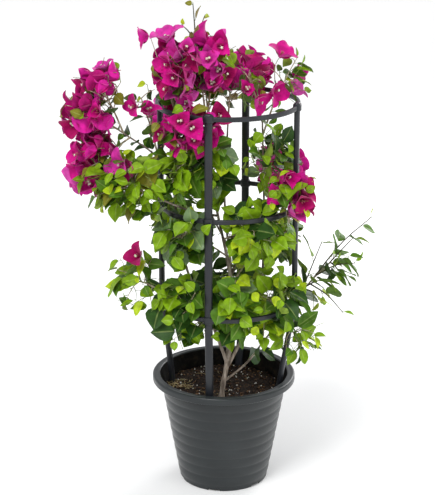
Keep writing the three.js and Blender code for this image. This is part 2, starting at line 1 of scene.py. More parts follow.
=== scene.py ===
"""The looks of a bougainvillea bush in its pot, with its stems trained through a round climbing frame.

Blender works in metres. The tables repeat the model's own millimetres, and MM turns them into metres.
"""
import math

import bmesh
import bpy
from mathutils import Matrix, Vector, noise
from mathutils.bvhtree import BVHTree


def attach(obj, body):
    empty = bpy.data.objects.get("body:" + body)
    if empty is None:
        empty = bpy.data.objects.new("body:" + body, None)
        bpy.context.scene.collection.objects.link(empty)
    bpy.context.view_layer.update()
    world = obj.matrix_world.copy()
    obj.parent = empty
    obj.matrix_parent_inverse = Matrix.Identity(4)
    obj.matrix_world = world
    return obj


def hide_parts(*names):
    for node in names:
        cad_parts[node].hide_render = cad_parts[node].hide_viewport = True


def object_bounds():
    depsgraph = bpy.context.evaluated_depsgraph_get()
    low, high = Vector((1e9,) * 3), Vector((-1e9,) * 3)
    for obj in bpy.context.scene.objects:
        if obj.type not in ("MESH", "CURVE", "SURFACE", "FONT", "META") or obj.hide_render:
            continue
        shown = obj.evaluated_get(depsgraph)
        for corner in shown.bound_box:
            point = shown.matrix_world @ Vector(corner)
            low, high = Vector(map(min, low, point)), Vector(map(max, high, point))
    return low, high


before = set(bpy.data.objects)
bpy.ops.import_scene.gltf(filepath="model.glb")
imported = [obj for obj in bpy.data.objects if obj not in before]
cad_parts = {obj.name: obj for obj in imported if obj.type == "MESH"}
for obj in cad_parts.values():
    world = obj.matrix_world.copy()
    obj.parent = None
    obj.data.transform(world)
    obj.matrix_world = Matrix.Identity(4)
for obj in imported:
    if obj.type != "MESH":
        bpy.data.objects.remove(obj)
cad_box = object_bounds()

MM = 0.001
UP = Vector((0, 0, 1))
GOLDEN_ANGLE = math.pi * (3 - math.sqrt(5))

# Pot
POT_HEIGHT = 220
RIM_RADIUS = 140
RIM_DROP = 14
RIM_INNER_RADIUS = 125
FOOT_RADIUS = 87
WALL_SPREAD = 0.18
WALL = 2.6
FLOOR = 4
BANDS = 9
BAND_DEPTH = 1.6
BAND_STEPS = 8
POT_FACETS = 144
DRAIN_SLOTS = 6
DRAIN_SLOT = (16, 24, 5)

# Soil
SOIL_TOP = 193
SOIL_EDGE_DROP = 5.0
SOIL_EDGE = 0.86  # the share of the soil's radius where it starts to fall to its edge
CLEAR = 0.3  # the gap between the soil and the pot
SOIL_RINGS = 46
SOIL_FACETS = 120
GRAINS = 90
CHIPS = 420
STRAWS = 60
STRAW_CORNER = (-88, 4)
# Climbing frame
FRAME_X = 7
FRAME_RADIUS = 133
FRAME_TURN = math.radians(15.6)
RING_HEIGHTS = {"low": 376, "middle": 569, "top": 762}
POSTS = ("right", "back", "left", "front")  # a quarter of a turn from each to the next
POST_SIZE = (10, 15)
FOOT_X = 1
POST_FOOT_RADIUS = 104
POST_FOOT_HEIGHT = 164
COLLAR_GROWTH = 2.5
COLLAR_HALF = 7
POST_CAP = ((1.6, -0.6), (2.4, -2.0))  # height over the top collar, and growth of the section
RING_SIZE = (6, 9)
RING_CORNER = 1.6
RING_FACETS = 128

# Limbs: the parent, the share of its length where the limb leaves it, the places that the limb passes
# up to its tip, and its radius at either end.
LIMBS = {
    "main_stem": (None, 0, [(-6, -76, 193.3), (0, -72, 232), (9, -60, 273)], (5.2, 4.4)),
    "stem_centre": (
        "main_stem", 1, [(22, -52, 350), (6, -44, 470), (-18, -42, 590), (-34, -24, 742)], (4.0, 1.7)
    ),
    "stem_left": (
        "main_stem", 0.86, [(-26, -56, 350), (-66, -58, 440), (-88, -66, 540), (-92, -52, 738)], (3.4, 1.6)
    ),
    "stem_right": (
        "main_stem", 0.72, [(42, -44, 322), (70, -22, 400), (76, -18, 520), (72, 2, 724)], (3.4, 1.6)
    ),
    "stem_back": (
        "main_stem", 0.55, [(10, -8, 305), (14, 44, 410), (2, 66, 540), (8, 62, 716)], (3.2, 1.6)
    ),
    "low_branch": ("main_stem", 0.42, [(46, -52, 261), (78, -34, 298), (132, 10, 352)], (2.2, 1.5)),
    "left_bough": ("stem_centre", 0.6, [(-60, -88, 577), (-142, -112, 618)], (2.4, 1.5)),
    "arm_bough": ("stem_left", 0.72, [(-118, -66, 668), (-196, -66, 728)], (2.2, 1.4)),
    "low_left_bough": ("stem_left", 0.24, [(-84, -66, 400), (-134, -66, 420)], (2.0, 1.4)),
    "right_bough": ("stem_right", 0.46, [(92, -52, 512), (118, -88, 538)], (2.2, 1.4)),
    "back_left_bough": ("stem_back", 0.5, [(-48, 82, 560), (-104, 92, 640)], (2.2, 1.4)),
    "back_right_bough": ("stem_back", 0.4, [(60, 72, 500), (112, 98, 540)], (2.2, 1.4)),
}
LIMB_STEPS = 200
SPAN_STEPS = 40  # the points on each span of a curve, before they are evenly spaced
ROOT_FLARE = 1.55
FLARE_HEIGHT = 14
BARK_STEP = 3.5  # millimetres between the rings of a limb
BARK_SIDES = 14
# Masses: the limb each grows from and the share of its length, the middle and half size of its
# space, the number of main twigs, what they bear, and the colours that its sprays are dealt.
MASSES = {
    "shoot_top": ("stem_centre", 1, (-54, -20, 880), (46, 42, 84), 5, "shoot", "olive"),
    "crown_top": ("stem_centre", 0.95, (-28, -12, 842), (50, 58, 98), 12, "bloom_leafy", "bronze"),
    "crown_left": ("stem_left", 1, (-82, -44, 832), (50, 58, 84), 11, "bloom", "bronze"),
    "crown_right": ("stem_right", 1, (46, -4, 812), (46, 54, 60), 4, "bloom_few", "bronze"),
    "right_top": ("stem_right", 0.95, (114, 4, 806), (58, 50, 60), 4, "bloom_few", "fresh"),
    "front_bloom": ("stem_left", 0.93, (-66, -104, 732), (64, 48, 50), 9, "bloom", "bronze"),
    "arm_top": ("arm_bough", 0.92, (-226, -56, 804), (52, 52, 52), 8, "bloom", "bronze"),
    "arm_outer": ("arm_bough", 1, (-250, -68, 752), (54, 56, 58), 9, "bloom", "bronze"),
    "arm_low": ("arm_bough", 0.84, (-230, -78, 662), (58, 52, 76), 9, "bloom", "bronze"),
    "arm_inner": ("arm_bough", 0.45, (-152, -58, 784), (34, 42, 30), 2, "bloom_few", "dark"),
    "arm_leaves": ("left_bough", 1, (-178, -106, 632), (88, 58, 66), 11, "leaf", "red_edged"),
    "inner_left": ("stem_left", 0.8, (-92, -92, 646), (58, 54, 66), 7, "leaf", "fresh"),
    "upper_middle": ("stem_centre", 0.74, (-26, -74, 656), (52, 54, 88), 8, "leaf", "dark"),
    "upper_right": ("stem_right", 0.82, (88, -14, 660), (56, 58, 86), 7, "leaf_small", "mixed"),
    "right_bloom": ("right_bough", 1, (124, -86, 604), (50, 44, 58), 8, "bloom_leafy", "fresh"),
    "middle_left": ("stem_left", 0.55, (-72, -100, 534), (62, 72, 74), 8, "leaf_large", "grey_sheen"),
    "middle_right": ("stem_centre", 0.5, (60, -96, 538), (78, 70, 68), 10, "leaf", "lime_glow"),
    "low_left_spray": ("low_left_bough", 1, (-162, -62, 430), (64, 56, 66), 4, "leaf_slim", "pale"),
    "low_left": ("stem_left", 0.16, (-76, -90, 388), (68, 68, 82), 8, "leaf", "mixed"),
    "low_middle": ("stem_centre", 0.22, (12, -96, 388), (56, 62, 92), 8, "leaf_large", "grey_sheen"),
    "low_right": ("stem_right", 0.3, (100, -72, 386), (64, 66, 92), 8, "leaf", "lime_glow"),
    "right_spray": ("low_branch", 1, (206, 2, 446), (110, 62, 138), 8, "wisp", "fresh"),
    "right_low": ("low_branch", 0.72, (138, -60, 324), (56, 50, 60), 6, "leaf_slim", "fresh"),
    "back_low": ("stem_back", 0.28, (8, 74, 356), (96, 62, 102), 8, "leaf", "dark"),
    "back_left": ("stem_back", 0.46, (-106, 52, 500), (58, 70, 96), 6, "leaf", "mixed"),
    "back_right": ("stem_back", 0.36, (98, 78, 480), (62, 60, 90), 6, "leaf", "mixed"),
    "back_middle": ("stem_back", 0.72, (-56, 92, 624), (60, 54, 78), 7, "leaf", "fresh"),
    "back_top": ("stem_back", 1, (14, 86, 792), (88, 52, 58), 9, "bloom_leafy", "bronze"),
    "back_left_bloom": ("back_left_bough", 1, (-102, 90, 704), (48, 54, 56), 6, "bloom", "fresh"),
    "back_right_bloom": ("back_right_bough", 1, (112, 102, 604), (54, 50, 58), 8, "bloom", "fresh"),
}

# The tips that the long shoots of a wispy mass reach.
TIPS = {
    "shoot_top": [(-57, -20, 951), (-36, -16, 928), (-76, -24, 912)],
    "right_spray": [
        (281, -12, 542), (250, 16, 492), (252, -14, 450), (230, -22, 352),
        (228, 6, 418), (196, -34, 424), (190, 30, 478), (186, 4, 372),
    ],
}

# Single flowers that stand on a twig of their own: the place and the size of each.
LONE_FLOWERS = {
    "low_left_spray": [((-158, -66, 500), 0.85)],
    "crown_left": [((-98, -48, 901), 1.05), ((-139, -44, 910), 0.65)],
    "crown_top": [((-24, -14, 902), 1.15), ((7, -40, 760), 0.75)],
    "crown_right": [((46, -60, 772), 0.85), ((44, -8, 846), 0.85), ((66, -4, 824), 0.85)],
    "arm_leaves": [((-196, -104, 690), 0.8), ((-160, -104, 684), 0.8)],
    "arm_low": [((-272, -78, 629), 0.95)],
    "arm_inner": [((-163, -58, 788), 0.8), ((-141, -62, 774), 0.8)],
    "right_top": [((94, 0, 864), 0.95), ((85, -10, 808), 0.95), ((134, 0, 800), 0.95)],
}

# What the twigs of a mass bear: leaf length, leaf spacing along a twig, flowers at a twig's tip and
# at a side twig's tip, side twigs on a twig, how many more main twigs than the model has, the share
# of twigs that have leaves, how slim the leaves are, and the size of the flowers.
BEARS = {
    "leaf": dict(length=45, spacing=19, sides=4, more=1.8, leafy=0.9),
    "leaf_large": dict(length=51, spacing=20, sides=3, more=1.8, leafy=0.9),
    "leaf_small": dict(length=37, spacing=19, sides=3, more=1.5, leafy=1),
    "leaf_slim": dict(length=54, spacing=24, sides=3, more=1.6, leafy=0.9, slim=0.74),
    "bloom": dict(length=36, spacing=40, flowers=(4, 3), sides=3, more=2.0, leafy=0.22),
    "bloom_leafy": dict(length=36, spacing=30, flowers=(3, 2), sides=3, more=1.9, leafy=0.6),
    "bloom_few": dict(length=34, spacing=26, flowers=(1, 0), sides=2, more=1.2, leafy=0.8, flower=0.86),
    "wisp": dict(length=46, spacing=31, sides=1, more=1.0, leafy=1, slim=0.68),
    "shoot": dict(length=26, spacing=26, sides=0, more=1.0, leafy=1),
}

# Leaves along the stem of a mass, outside its space too.
STEM_LEAVES = dict(length=36, spacing=18)

# Limbs that bear a few leaves of their own, and the length of these.
LIMB_LEAVES = {
    "low_branch": 44, "low_left_bough": 44, "right_bough": 44, "arm_bough": 28, "back_right_bough": 44
}
LIMB_LEAF_SPACING = 15
LEAVES_FROM = 0.3  # the share of a twig or limb where its leaves begin
STEM_LEAVES_FROM = 0.22
# The share of sprays that each palette gives to each leaf colour.
PALETTES = {
    "fresh": {"fresh": 0.40, "green": 0.36, "lime_glow": 0.12, "dark": 0.12},
    "lime_glow": {"lime_glow": 0.16, "fresh": 0.28, "green": 0.30, "dark": 0.26},
    "mixed": {"green": 0.38, "dark": 0.26, "fresh": 0.22, "lime_glow": 0.06, "grey_sheen": 0.08},
    "grey_sheen": {"green": 0.32, "grey_sheen": 0.34, "dark": 0.24, "fresh": 0.10},
    # The dark palette, for the masses inside the bush, paints shade with its many dark leaves.
    "dark": {"dark": 0.44, "green": 0.34, "grey_sheen": 0.14, "fresh": 0.08},
    "bronze": {"bronze": 0.34, "green": 0.22, "fresh": 0.26, "dark": 0.10, "lime_glow": 0.08},
    "olive": {"bronze": 0.5, "lime_glow": 0.25, "fresh": 0.25},
    "pale": {"fresh": 0.45, "lime_glow": 0.35, "green": 0.20},
    "red_edged": {"fresh": 0.34, "green": 0.30, "bronze": 0.20, "lime_glow": 0.16},
}

# The colours of the leaves near a twig's tip, where they differ from the plain ones.
YOUNG = {
    "lime_glow": {"lime_glow": 0.36, "fresh": 0.64},
    "bronze": {"bronze": 0.6, "fresh": 0.4},
    "olive": {"bronze": 0.5, "lime_glow": 0.5},
    "plain": {"fresh": 0.66, "lime_glow": 0.18, "green": 0.16},
}

# Twigs
STEM_START = 9  # the length of a stem, next to its limb, that isn't tested for clearance
STEM_RADII = (2.0, 1.2)
STEM_NODES = 16
STEM_TRIES = 80
NODE_SLACK = 20  # how far a node may lie past the planes of its space
SHORTEST_TWIG = 12
FEWEST_NODES = 3  # when so few nodes are left free, twigs share them
SIDE_STEPS = (20, 6, 18)  # the steps of a twig, and those between which its side twigs start
LEAF_STEPS = 40
TWIG_RADII = (1.15, 0.6)
SHOOT_RADII = (1.7, 0.8)
SIDE_RADII = (0.75, 0.45)
PETIOLE_RADII = (0.6, 0.4)
LONE_TWIG = 60  # the length of a single flower's own twig
LONE_REACH = 30  # how far short of the flower's place that twig ends
NODE_TURN = 2.4  # radians round a twig from one leaf or side twig to the next
WHOLE_TURN = 6.28
STAR_SHARE = 0.5  # how many of the flowers' tubes are open

# Spaces and tries
REACH_MARGIN = 12  # how far past the model's box a leaf may reach
SPACE_MARGIN = 1.0  # how far each of two spaces keeps from the plane between them
SLACK = 14  # how far a leaf or flower may reach past the planes of its space
SPREAD = 1.12  # how far leaves and flowers may reach past their space's own size
TWIG_SPREAD = 1.02
LEAF_CORE = 0.8  # share of a blade, about its middle, that nothing else may cut
BRACT_CORE = 0.6
TRIES = 5
SHRINK = 0.93  # the size of each try as a share of the one before

# Blades: where each has its rows of points, as shares of its length, and of its half width.
LEAF_STATIONS = (0.03, 0.12, 0.27, 0.45, 0.63, 0.79, 0.91)
LEAF_ACROSS = (-1, -0.55, -0.08, 0, 0.08, 0.55, 1)
LEAF_THICKNESS = 0.45
LIME_SIZE = 0.85  # the yellow leaves are young, and so smaller
TIP_START = 0.86  # the share of a twig past which its leaves are young
TIP_SIZE = 0.62
LEAF_PEAK = 0.2796  # the greatest value of a leaf's outline, which makes it 1 there
BRACT_PEAK = 0.4052
RIB = 2  # the number of a leaf's midrib among its materials
BRACT_STATIONS = (0.03, 0.10, 0.20, 0.31, 0.43, 0.55, 0.67, 0.78, 0.88, 0.95)
BRACT_ACROSS = (-1, -0.64, -0.3, 0, 0.3, 0.64, 1)
BRACT_THICKNESS = 0.35
BRACT_LENGTH = 46
CLUSTER_OPENING = (0.55, 1.1)
LONE_OPENING = (0.95, 1.3)
RIM_ANGLE = math.radians(110)  # a blade's two sheets meet at a sharp rim

POT_COLOUR = (0.0185, 0.0225, 0.0240)
FRAME_COLOUR = (0.011, 0.013, 0.017)
SOIL_COLOURS = [(0.003, 0.0016, 0.001), (0.014, 0.007, 0.004), (0.050, 0.026, 0.013)]
INNER_WALL_COLOURS = [(0.002, 0.0015, 0.001), (0.006, 0.005, 0.004), (0.022, 0.015, 0.009)]

# Barks: the scale and depth of the grain, and its colours.
BARKS = {
    "bark": (130, 0.0016, [(0.11, 0.085, 0.065), (0.29, 0.235, 0.19), (0.50, 0.43, 0.36)]),
    "young_bark": (160, 0.0006, [(0.26, 0.20, 0.12), (0.46, 0.39, 0.26), (0.66, 0.60, 0.45)]),
    "green_twig": (150, 0.0004, [(0.07, 0.12, 0.02), (0.15, 0.23, 0.05), (0.27, 0.33, 0.10)]),
    "shoot_bark": (150, 0.0004, [(0.030, 0.030, 0.012), (0.070, 0.065, 0.030), (0.14, 0.13, 0.06)]),
    "bark_chip": (300, 0.001, [(0.02, 0.01, 0.005), (0.10, 0.05, 0.025), (0.2, 0.12, 0.06)]),
    "straw": (220, 0.0004, [(0.14, 0.10, 0.04), (0.32, 0.25, 0.12), (0.56, 0.48, 0.30)]),
}

# Small parts of the flowers: the plain colour, the scale of the mottling, and its colours.
TRIFLES = {
    "cream_petal": ((0.86, 0.83, 0.68), 300, [(0.80, 0.76, 0.52), (0.90, 0.88, 0.76)]),
    "flower_tube": ((0.42, 0.10, 0.16), 160, [(0.30, 0.20, 0.08), (0.50, 0.05, 0.20)]),
    "bud": ((0.34, 0.20, 0.09), 160, [(0.22, 0.22, 0.05), (0.42, 0.14, 0.10)]),
}

# Leaves and bracts: the colours of the upper and the lower side.
LEAF_COLOURS = {
    # The dark green is partly the deeper green of older leaves and partly painted shade, dealt to the masses
    # inside the bush and to the limbs' own leaves.
    "dark": ((0.024, 0.070, 0.009), (0.062, 0.124, 0.028)),
    "green": ((0.070, 0.164, 0.010), (0.120, 0.212, 0.040)),
    "fresh": ((0.190, 0.335, 0.008), (0.235, 0.350, 0.045)),
    # The lime is the yellow-green of young leaves, made brighter as painted light shining through them.
    "lime_glow": ((0.420, 0.560, 0.016), (0.440, 0.540, 0.070)),
    # The grey is a duller green with a painted sheen in its colour, besides its higher gloss.
    "grey_sheen": ((0.125, 0.205, 0.078), (0.180, 0.260, 0.115)),
    "bronze": ((0.190, 0.185, 0.018), (0.220, 0.165, 0.045)),
}
RIB_COLOUR = (0.42, 0.50, 0.16)
BRACT_COLOURS = {
    "magenta": ((0.580, 0.002, 0.225), (0.620, 0.010, 0.290)),
    # The deep magenta is partly the darker colour of young bracts and partly painted shade, a darker copy of
    # the magenta.
    "deep_shade": ((0.400, 0.001, 0.110), (0.440, 0.004, 0.160)),
    # The pink is painted light: a paler copy of the magenta that stands for lit bracts.
    "pink_lit": ((0.640, 0.030, 0.350), (0.700, 0.080, 0.430)),
}
# Each cluster is dealt one of the three: the magenta itself, its copy with painted shade, and its copy with
# painted light.
BRACT_SHARES = {"magenta": 0.58, "deep_shade": 0.22, "pink_lit": 0.20}

# The studio's light by the height of its direction: even and bright at the horizon, softer above.
SKY = (0.2, 0.3, 1.02, 0.68)
FLOOR_HALF = 30
CAMERA_PLACE = (-0.0123, -2.985, 1.470)
CAMERA_TILT = 0.3212  # radians downwards
CAMERA_LENS = 118.9


def mm(values):
    return Vector(values) * MM


def lerp(a, b, share):
    return a + (b - a) * share


def polar(radius, angle):
    return radius * math.cos(angle), radius * math.sin(angle)


def swing(across, third, angle):
    """The direction at an angle from one direction, towards another that is square to it."""
    return across * math.cos(angle) + third * math.sin(angle)


class Seeded:
    """The same numbers from 0 to 1 in the same order for the same seed."""

    MASK = 0xFFFFFFFF

    def __init__(self, seed):
        self.state = seed & self.MASK

    def __call__(self):
        self.state = (self.state + 0x6D2B79F5) & self.MASK
        t = ((self.state ^ (self.state >> 15)) * (self.state | 1)) & self.MASK
        t ^= (t + ((t ^ (t >> 7)) * (t | 61) & self.MASK)) & self.MASK
        return ((t ^ (t >> 14)) & self.MASK) / 2**32

    def between(self, low, high):
        return low + (high - low) * self()

    def turn(self):
        return self() * WHOLE_TURN

    def offset(self, size):
        return Vector((self() - 0.5, self() - 0.5, self() - 0.5)) * size


# Materials


MATERIALS = {}


def new_material(name, colour, roughness, **sockets):
    """A Principled material with its uniform values set on the shader's own sockets."""
    material = bpy.data.materials.new(name)
    MATERIALS[name] = material
    material.use_nodes = True
    shader = material.node_tree.nodes["Principled BSDF"]
    shader.inputs["Base Color"].default_value = (*colour, 1)
    shader.inputs["Roughness"].default_value = roughness
    for socket, value in sockets.items():
        shader.inputs[socket.replace("_", " ")].default_value = value
    return material


def add_node(material, kind, **values):
    node = material.node_tree.nodes.new(kind)
    for key, value in values.items():
        node.inputs[key.replace("_", " ")].default_value = value
    return node


def noise_of(material, scale, detail, stretch=(1, 1, 1)):
    """Noise over the object's own coordinates, in metres, with its scale in waves to the metre."""
    tree = material.node_tree
    place = tree.nodes.new("ShaderNodeTexCoord")
    mapping = add_node(material, "ShaderNodeMapping", Scale=stretch)
    texture = add_node(material, "ShaderNodeTexNoise", Scale=scale, Detail=detail)
    tree.links.new(place.outputs["Object"], mapping.inputs["Vector"])
    tree.links.new(mapping.outputs["Vector"], texture.inputs["Vector"])
    return texture.outputs["Fac"]


def through(material, value, kind, entry, outlet, socket, **values):
    """A new node between a value and one of the shader's sockets."""
    tree = material.node_tree
    node = add_node(material, kind, **values)
    tree.links.new(value, node.inputs[entry])
    tree.links.new(node.outputs[outlet], tree.nodes["Principled BSDF"].inputs[socket])
    return node


def mottle(material, value, colours, low=0.35, high=0.65):
    """Base colour that runs through the colours as the value goes from low to high."""
    ramp = through(material, value, "ShaderNodeValToRGB", "Fac", "Color", "Base Color").color_ramp
    while len(ramp.elements) < len(colours):
        ramp.elements.new(0.5)
    for i, colour in enumerate(colours):
        ramp.elements[i].position = lerp(low, high, i / (len(colours) - 1))
        ramp.elements[i].color = (*colour, 1)


def vary_roughness(material, value, low, high):
    through(material, value, "ShaderNodeMapRange", "Value", "Result", "Roughness", To_Min=low, To_Max=high)


def bump(material, value, depth, strength=1.0):
    facts = dict(Distance=depth, Strength=strength)
    through(material, value, "ShaderNodeBump", "Height", "Normal", "Normal", **facts)


def shades(colour, dark, bright):
    """A colour between a darker and a brighter one."""
    return [tuple(min(1, c * factor) for c in colour) for factor in (dark, 1, bright)]


def textured(name, colours, roughness, grain, depth, strength=1.0, fine=None, band=(0.35, 0.65), **sockets):
    """A mottled material with bumps. Grain and fine are a noise's scale, detail and stretch."""
    material = new_material(name, colours[1], roughness, **sockets)
    pattern = noise_of(material, *grain)
    mottle(material, pattern, colours, *band)
    bump(material, noise_of(material, *fine) if fine else pattern, depth, strength)
    return material


def leaf_material(name, colour, roughness, gloss):
    colours = shades(colour, 0.76, 1.22)
    textured(name, colours, roughness, (95, 5), 0.0009, 0.55, (210, 3), Specular_IOR_Level=gloss)


def bract_material(name, colour):
    textured(
        name, shades(colour, 0.78, 1.2), 0.6, (85, 5), 0.0007, 0.5, (420, 3),
        Specular_IOR_Level=0.15, Sheen_Weight=0.22, Sheen_Roughness=0.4,
    )


def make_materials():
    """All the materials but the floor's."""
    pot = textured(
        "pot_plastic", shades(POT_COLOUR, 0.86, 1.22), 0.3, (16, 6), 0.0004, 0.35, (420, 4, (1, 1, 4)),
        (0.3, 0.72), Specular_IOR_Level=0.4,
    )
    vary_roughness(pot, noise_of(pot, 60, 5, (1, 1, 6)), 0.24, 0.44)
    # The pot's inner wall: darker and browner than its outside.
    textured("pot_inside", INNER_WALL_COLOURS, 0.9, (70, 8), 0.002, band=(0.34, 0.7), Specular_IOR_Level=0.2)
    textured("soil_crumb", SOIL_COLOURS, 0.95, (260, 8), 0.003, band=(0.34, 0.68), Specular_IOR_Level=0.2)
    plastic = textured(
        "frame_plastic", shades(FRAME_COLOUR, 0.8, 1.5), 0.36, (45, 5, (1, 1, 0.3)), 0.0003, 0.3,
        (600, 3), (0.3, 0.72),
    )
    vary_roughness(plastic, noise_of(plastic, 120, 4), 0.3, 0.5)
    perlite = new_material("perlite", (0.78, 0.76, 0.70), 0.9)
    bump(perlite, noise_of(perlite, 900, 4), 0.0008)
    for name, (scale, depth, colours) in BARKS.items():
        grain = (scale, 8, (1, 1, 0.22))
        textured(name, colours, 0.85, grain, depth, band=(0.36, 0.66), Specular_IOR_Level=0.25)
    for name, (colour, scale, colours) in TRIFLES.items():
        material = new_material(name, colour, 0.6)
        mottle(material, noise_of(material, scale, 3), colours)
    for tint, (upper, lower) in LEAF_COLOURS.items():
        # The grey leaves, whose colour holds a painted sheen, also get more gloss.
        gloss = 0.5 if tint == "grey_sheen" else 0.15
        rib = tuple(lerp(c, pale, 0.28) for c, pale in zip(upper, RIB_COLOUR))
        leaf_material(f"leaf_{tint}", upper, 0.42, gloss)
        leaf_material(f"leaf_{tint}_under", lower, 0.6, 0.15)
        leaf_material(f"leaf_{tint}_rib", rib, 0.42, gloss)
    for tint, (upper, lower) in BRACT_COLOURS.items():
        bract_material(f"bract_{tint}", upper)
        bract_material(f"bract_{tint}_under", lower)


make_materials()


# Meshes


class Batch:
    """Many small bodies joined into one piece, with a material number for each face."""

    def __init__(self):
        self.points = []
        self.faces = []
        self.looks = []

    def add(self, points, faces, looks=None):
        first = len(self.points)
        self.points.extend(points)
        self.faces.extend([tuple(first + i for i in face) for face in faces])
        self.looks.extend(looks or [0] * len(faces))
        return self


def new_object(name, data):
    obj = bpy.data.objects.new(name, data)
    bpy.context.scene.collection.objects.link(obj)
    return obj


def make_piece(name, batch, materials, replaced=(), sharp=None):
    """An object from a batch, riding on the root body and what it stands for."""
    mesh = bpy.data.meshes.new(name)
    mesh.from_pydata(batch.points, [], batch.faces)
    for key in materials:
        mesh.materials.append(MATERIALS[key])
    mesh.polygons.foreach_set("material_index", batch.looks)
    mesh.polygons.foreach_set("use_smooth", [True] * len(batch.faces))
    if sharp is not None:
        mesh.set_sharp_from_angle(angle=sharp)
    mesh.update()
    obj = new_object(name, mesh)
    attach(obj, "root")
    if replaced:
        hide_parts(*replaced)
    return obj


def skin(rings, closed=False):
    """Points and faces over rings of points, capped at both ends or closed into a loop."""
    count = len(rings[0])
    points = [p for ring in rings for p in ring]
    faces = []
    spans = len(rings) if closed else len(rings) - 1
    for r in range(spans):
        low, high = r * count, (r + 1) % len(rings) * count
        for i in range(count):
            j = (i + 1) % count
            faces.append((low + i, low + j, high + j, high + i))
    if not closed:
        last = (len(rings) - 1) * count
        faces.append(tuple(reversed(range(count))))
        faces.append(tuple(range(last, last + count)))
    return points, faces


def tube(route, radii, sides, wobble=None):
    """A round tube along a route, whose radius runs evenly between two values."""
    ends = [route[0], *route, route[-1]]
    directions = [(after - before).normalized() for before, after in zip(ends, ends[2:])]
    across = Vector((1, 0, 0)).cross(directions[0])
    if across.length < 0.2:
        across = Vector((0, 1, 0)).cross(directions[0])
    rings = []
    for i, (point, along) in enumerate(zip(route, directions)):
        across = (across - along * across.dot(along)).normalized()
        third = along.cross(across)
        share = i / (len(route) - 1)
        radius = lerp(radii[0], radii[1], share) * MM
        ring = []
        for k in range(sides):
            out = swing(across, third, math.tau * k / sides)
            size = radius * (wobble(point + out * radius, share) if wobble else 1)
            ring.append(point + out * size)
        rings.append(ring)
    return skin(rings)


def curve_points(controls, steps):
    """Points on the centripetal Catmull-Rom curve through the controls, evenly spaced by length."""
    padded = [controls[0] * 2 - controls[1], *controls, controls[-1] * 2 - controls[-2]]
    fine = []
    for span in zip(padded, padded[1:], padded[2:], padded[3:]):
        fine += [centripetal(*span, i / SPAN_STEPS) for i in range(SPAN_STEPS)]
    fine.append(controls[-1].copy())
    return evenly(fine, steps)


def centripetal(p0, p1, p2, p3, share):
    t0 = max(1e-6, (p1 - p0).length ** 0.5)
    t1 = max(1e-6, (p2 - p1).length ** 0.5)
    t2 = max(1e-6, (p3 - p2).length ** 0.5)
    m1 = ((p1 - p0) / t0 - (p2 - p0) / (t0 + t1) + (p2 - p1) / t1) * t1
    m2 = ((p2 - p1) / t1 - (p3 - p1) / (t1 + t2) + (p3 - p2) / t2) * t1
    a = p1 * 2 - p2 * 2 + m1 + m2
    b = p2 * 3 - p1 * 3 - m1 * 2 - m2
    return ((a * share + b) * share + m1) * share + p1


def evenly(points, steps):
    """The line through the points again, as steps + 1 points an even distance apart."""
    lengths = [0]
    for a, b in zip(points, points[1:]):
        lengths.append(lengths[-1] + (b - a).length)
    result = []
    i = 0
    for k in range(steps + 1):
        goal = lengths[-1] * k / steps
        while i + 2 < len(lengths) and lengths[i + 1] < goal:
            i += 1
        share = (goal - lengths[i]) / max(1e-12, lengths[i + 1] - lengths[i])
        result.append(points[i].lerp(points[i + 1], min(1, share)))
    return result


def length_of(points):
    return sum((b - a).length for a, b in zip(points, points[1:]))


# Pot and soil


def wall_radius(z):
    return FOOT_RADIUS + WALL_SPREAD * z


def inner_radius(z):
    return wall_radius(z) - BAND_DEPTH - WALL


def lathe(outline, facets):
    """A closed outline of radius and height in millimetres, turned round the vertical axis."""
    rings = []
    for k in range(facets):
        rings.append([mm((*polar(r, math.tau * k / facets), z)) for r, z in outline])
    points, faces = skin(rings, closed=True)
    return Batch().add(points, [(a, d, c, b) for a, b, c, d in faces])


def arc_outline(middle, radius, start, end, steps):
    """Outline points on an arc, with its angles in degrees."""
    angles = [math.radians(lerp(start, end, i / steps)) for i in range(steps + 1)]
    return [(middle[0] + radius * math.cos(a), middle[1] + radius * math.sin(a)) for a in angles]


def pot_outline():
    """The pot's closed section: foot, banded wall, rolled rim, lip and the inside."""
    wall_top = POT_HEIGHT - RIM_DROP
    bands = []
    for step in range(BANDS * BAND_STEPS + 1):
        share = step / (BANDS * BAND_STEPS)
        z = lerp(9, wall_top - 5, share)
        bulge = math.sin(math.pi * (share * BANDS % 1)) ** 0.55
        bands.append((wall_radius(z) - BAND_DEPTH * (1 - bulge), z))
    return [
        (1, 0), (FOOT_RADIUS - 12, 0.0), (FOOT_RADIUS - 9, 1.2), (FOOT_RADIUS - 6, 0),
        *arc_outline((FOOT_RADIUS - 3, 3), 3, -90, 0, 4),
        *bands,
        (wall_radius(wall_top) - 1.0, wall_top - 1.5),
        *arc_outline((RIM_RADIUS - 3, wall_top + 3), 3, -90, 0, 4),
        (RIM_RADIUS - 0.5, POT_HEIGHT - 7),
        *arc_outline((RIM_RADIUS - 4, POT_HEIGHT - 4), 4, 0, 90, 5),
        (RIM_RADIUS - 8, POT_HEIGHT - 0.7), (RIM_INNER_RADIUS + 5, POT_HEIGHT - 0.7),
        *arc_outline((RIM_INNER_RADIUS + 2.5, POT_HEIGHT - 2.5), 2.5, 90, 180, 4),
        (RIM_INNER_RADIUS - 0.4, POT_HEIGHT - 8),
        (inner_radius(wall_top), wall_top - 8),
        (inner_radius(FLOOR), FLOOR),
        (1, FLOOR),
    ]


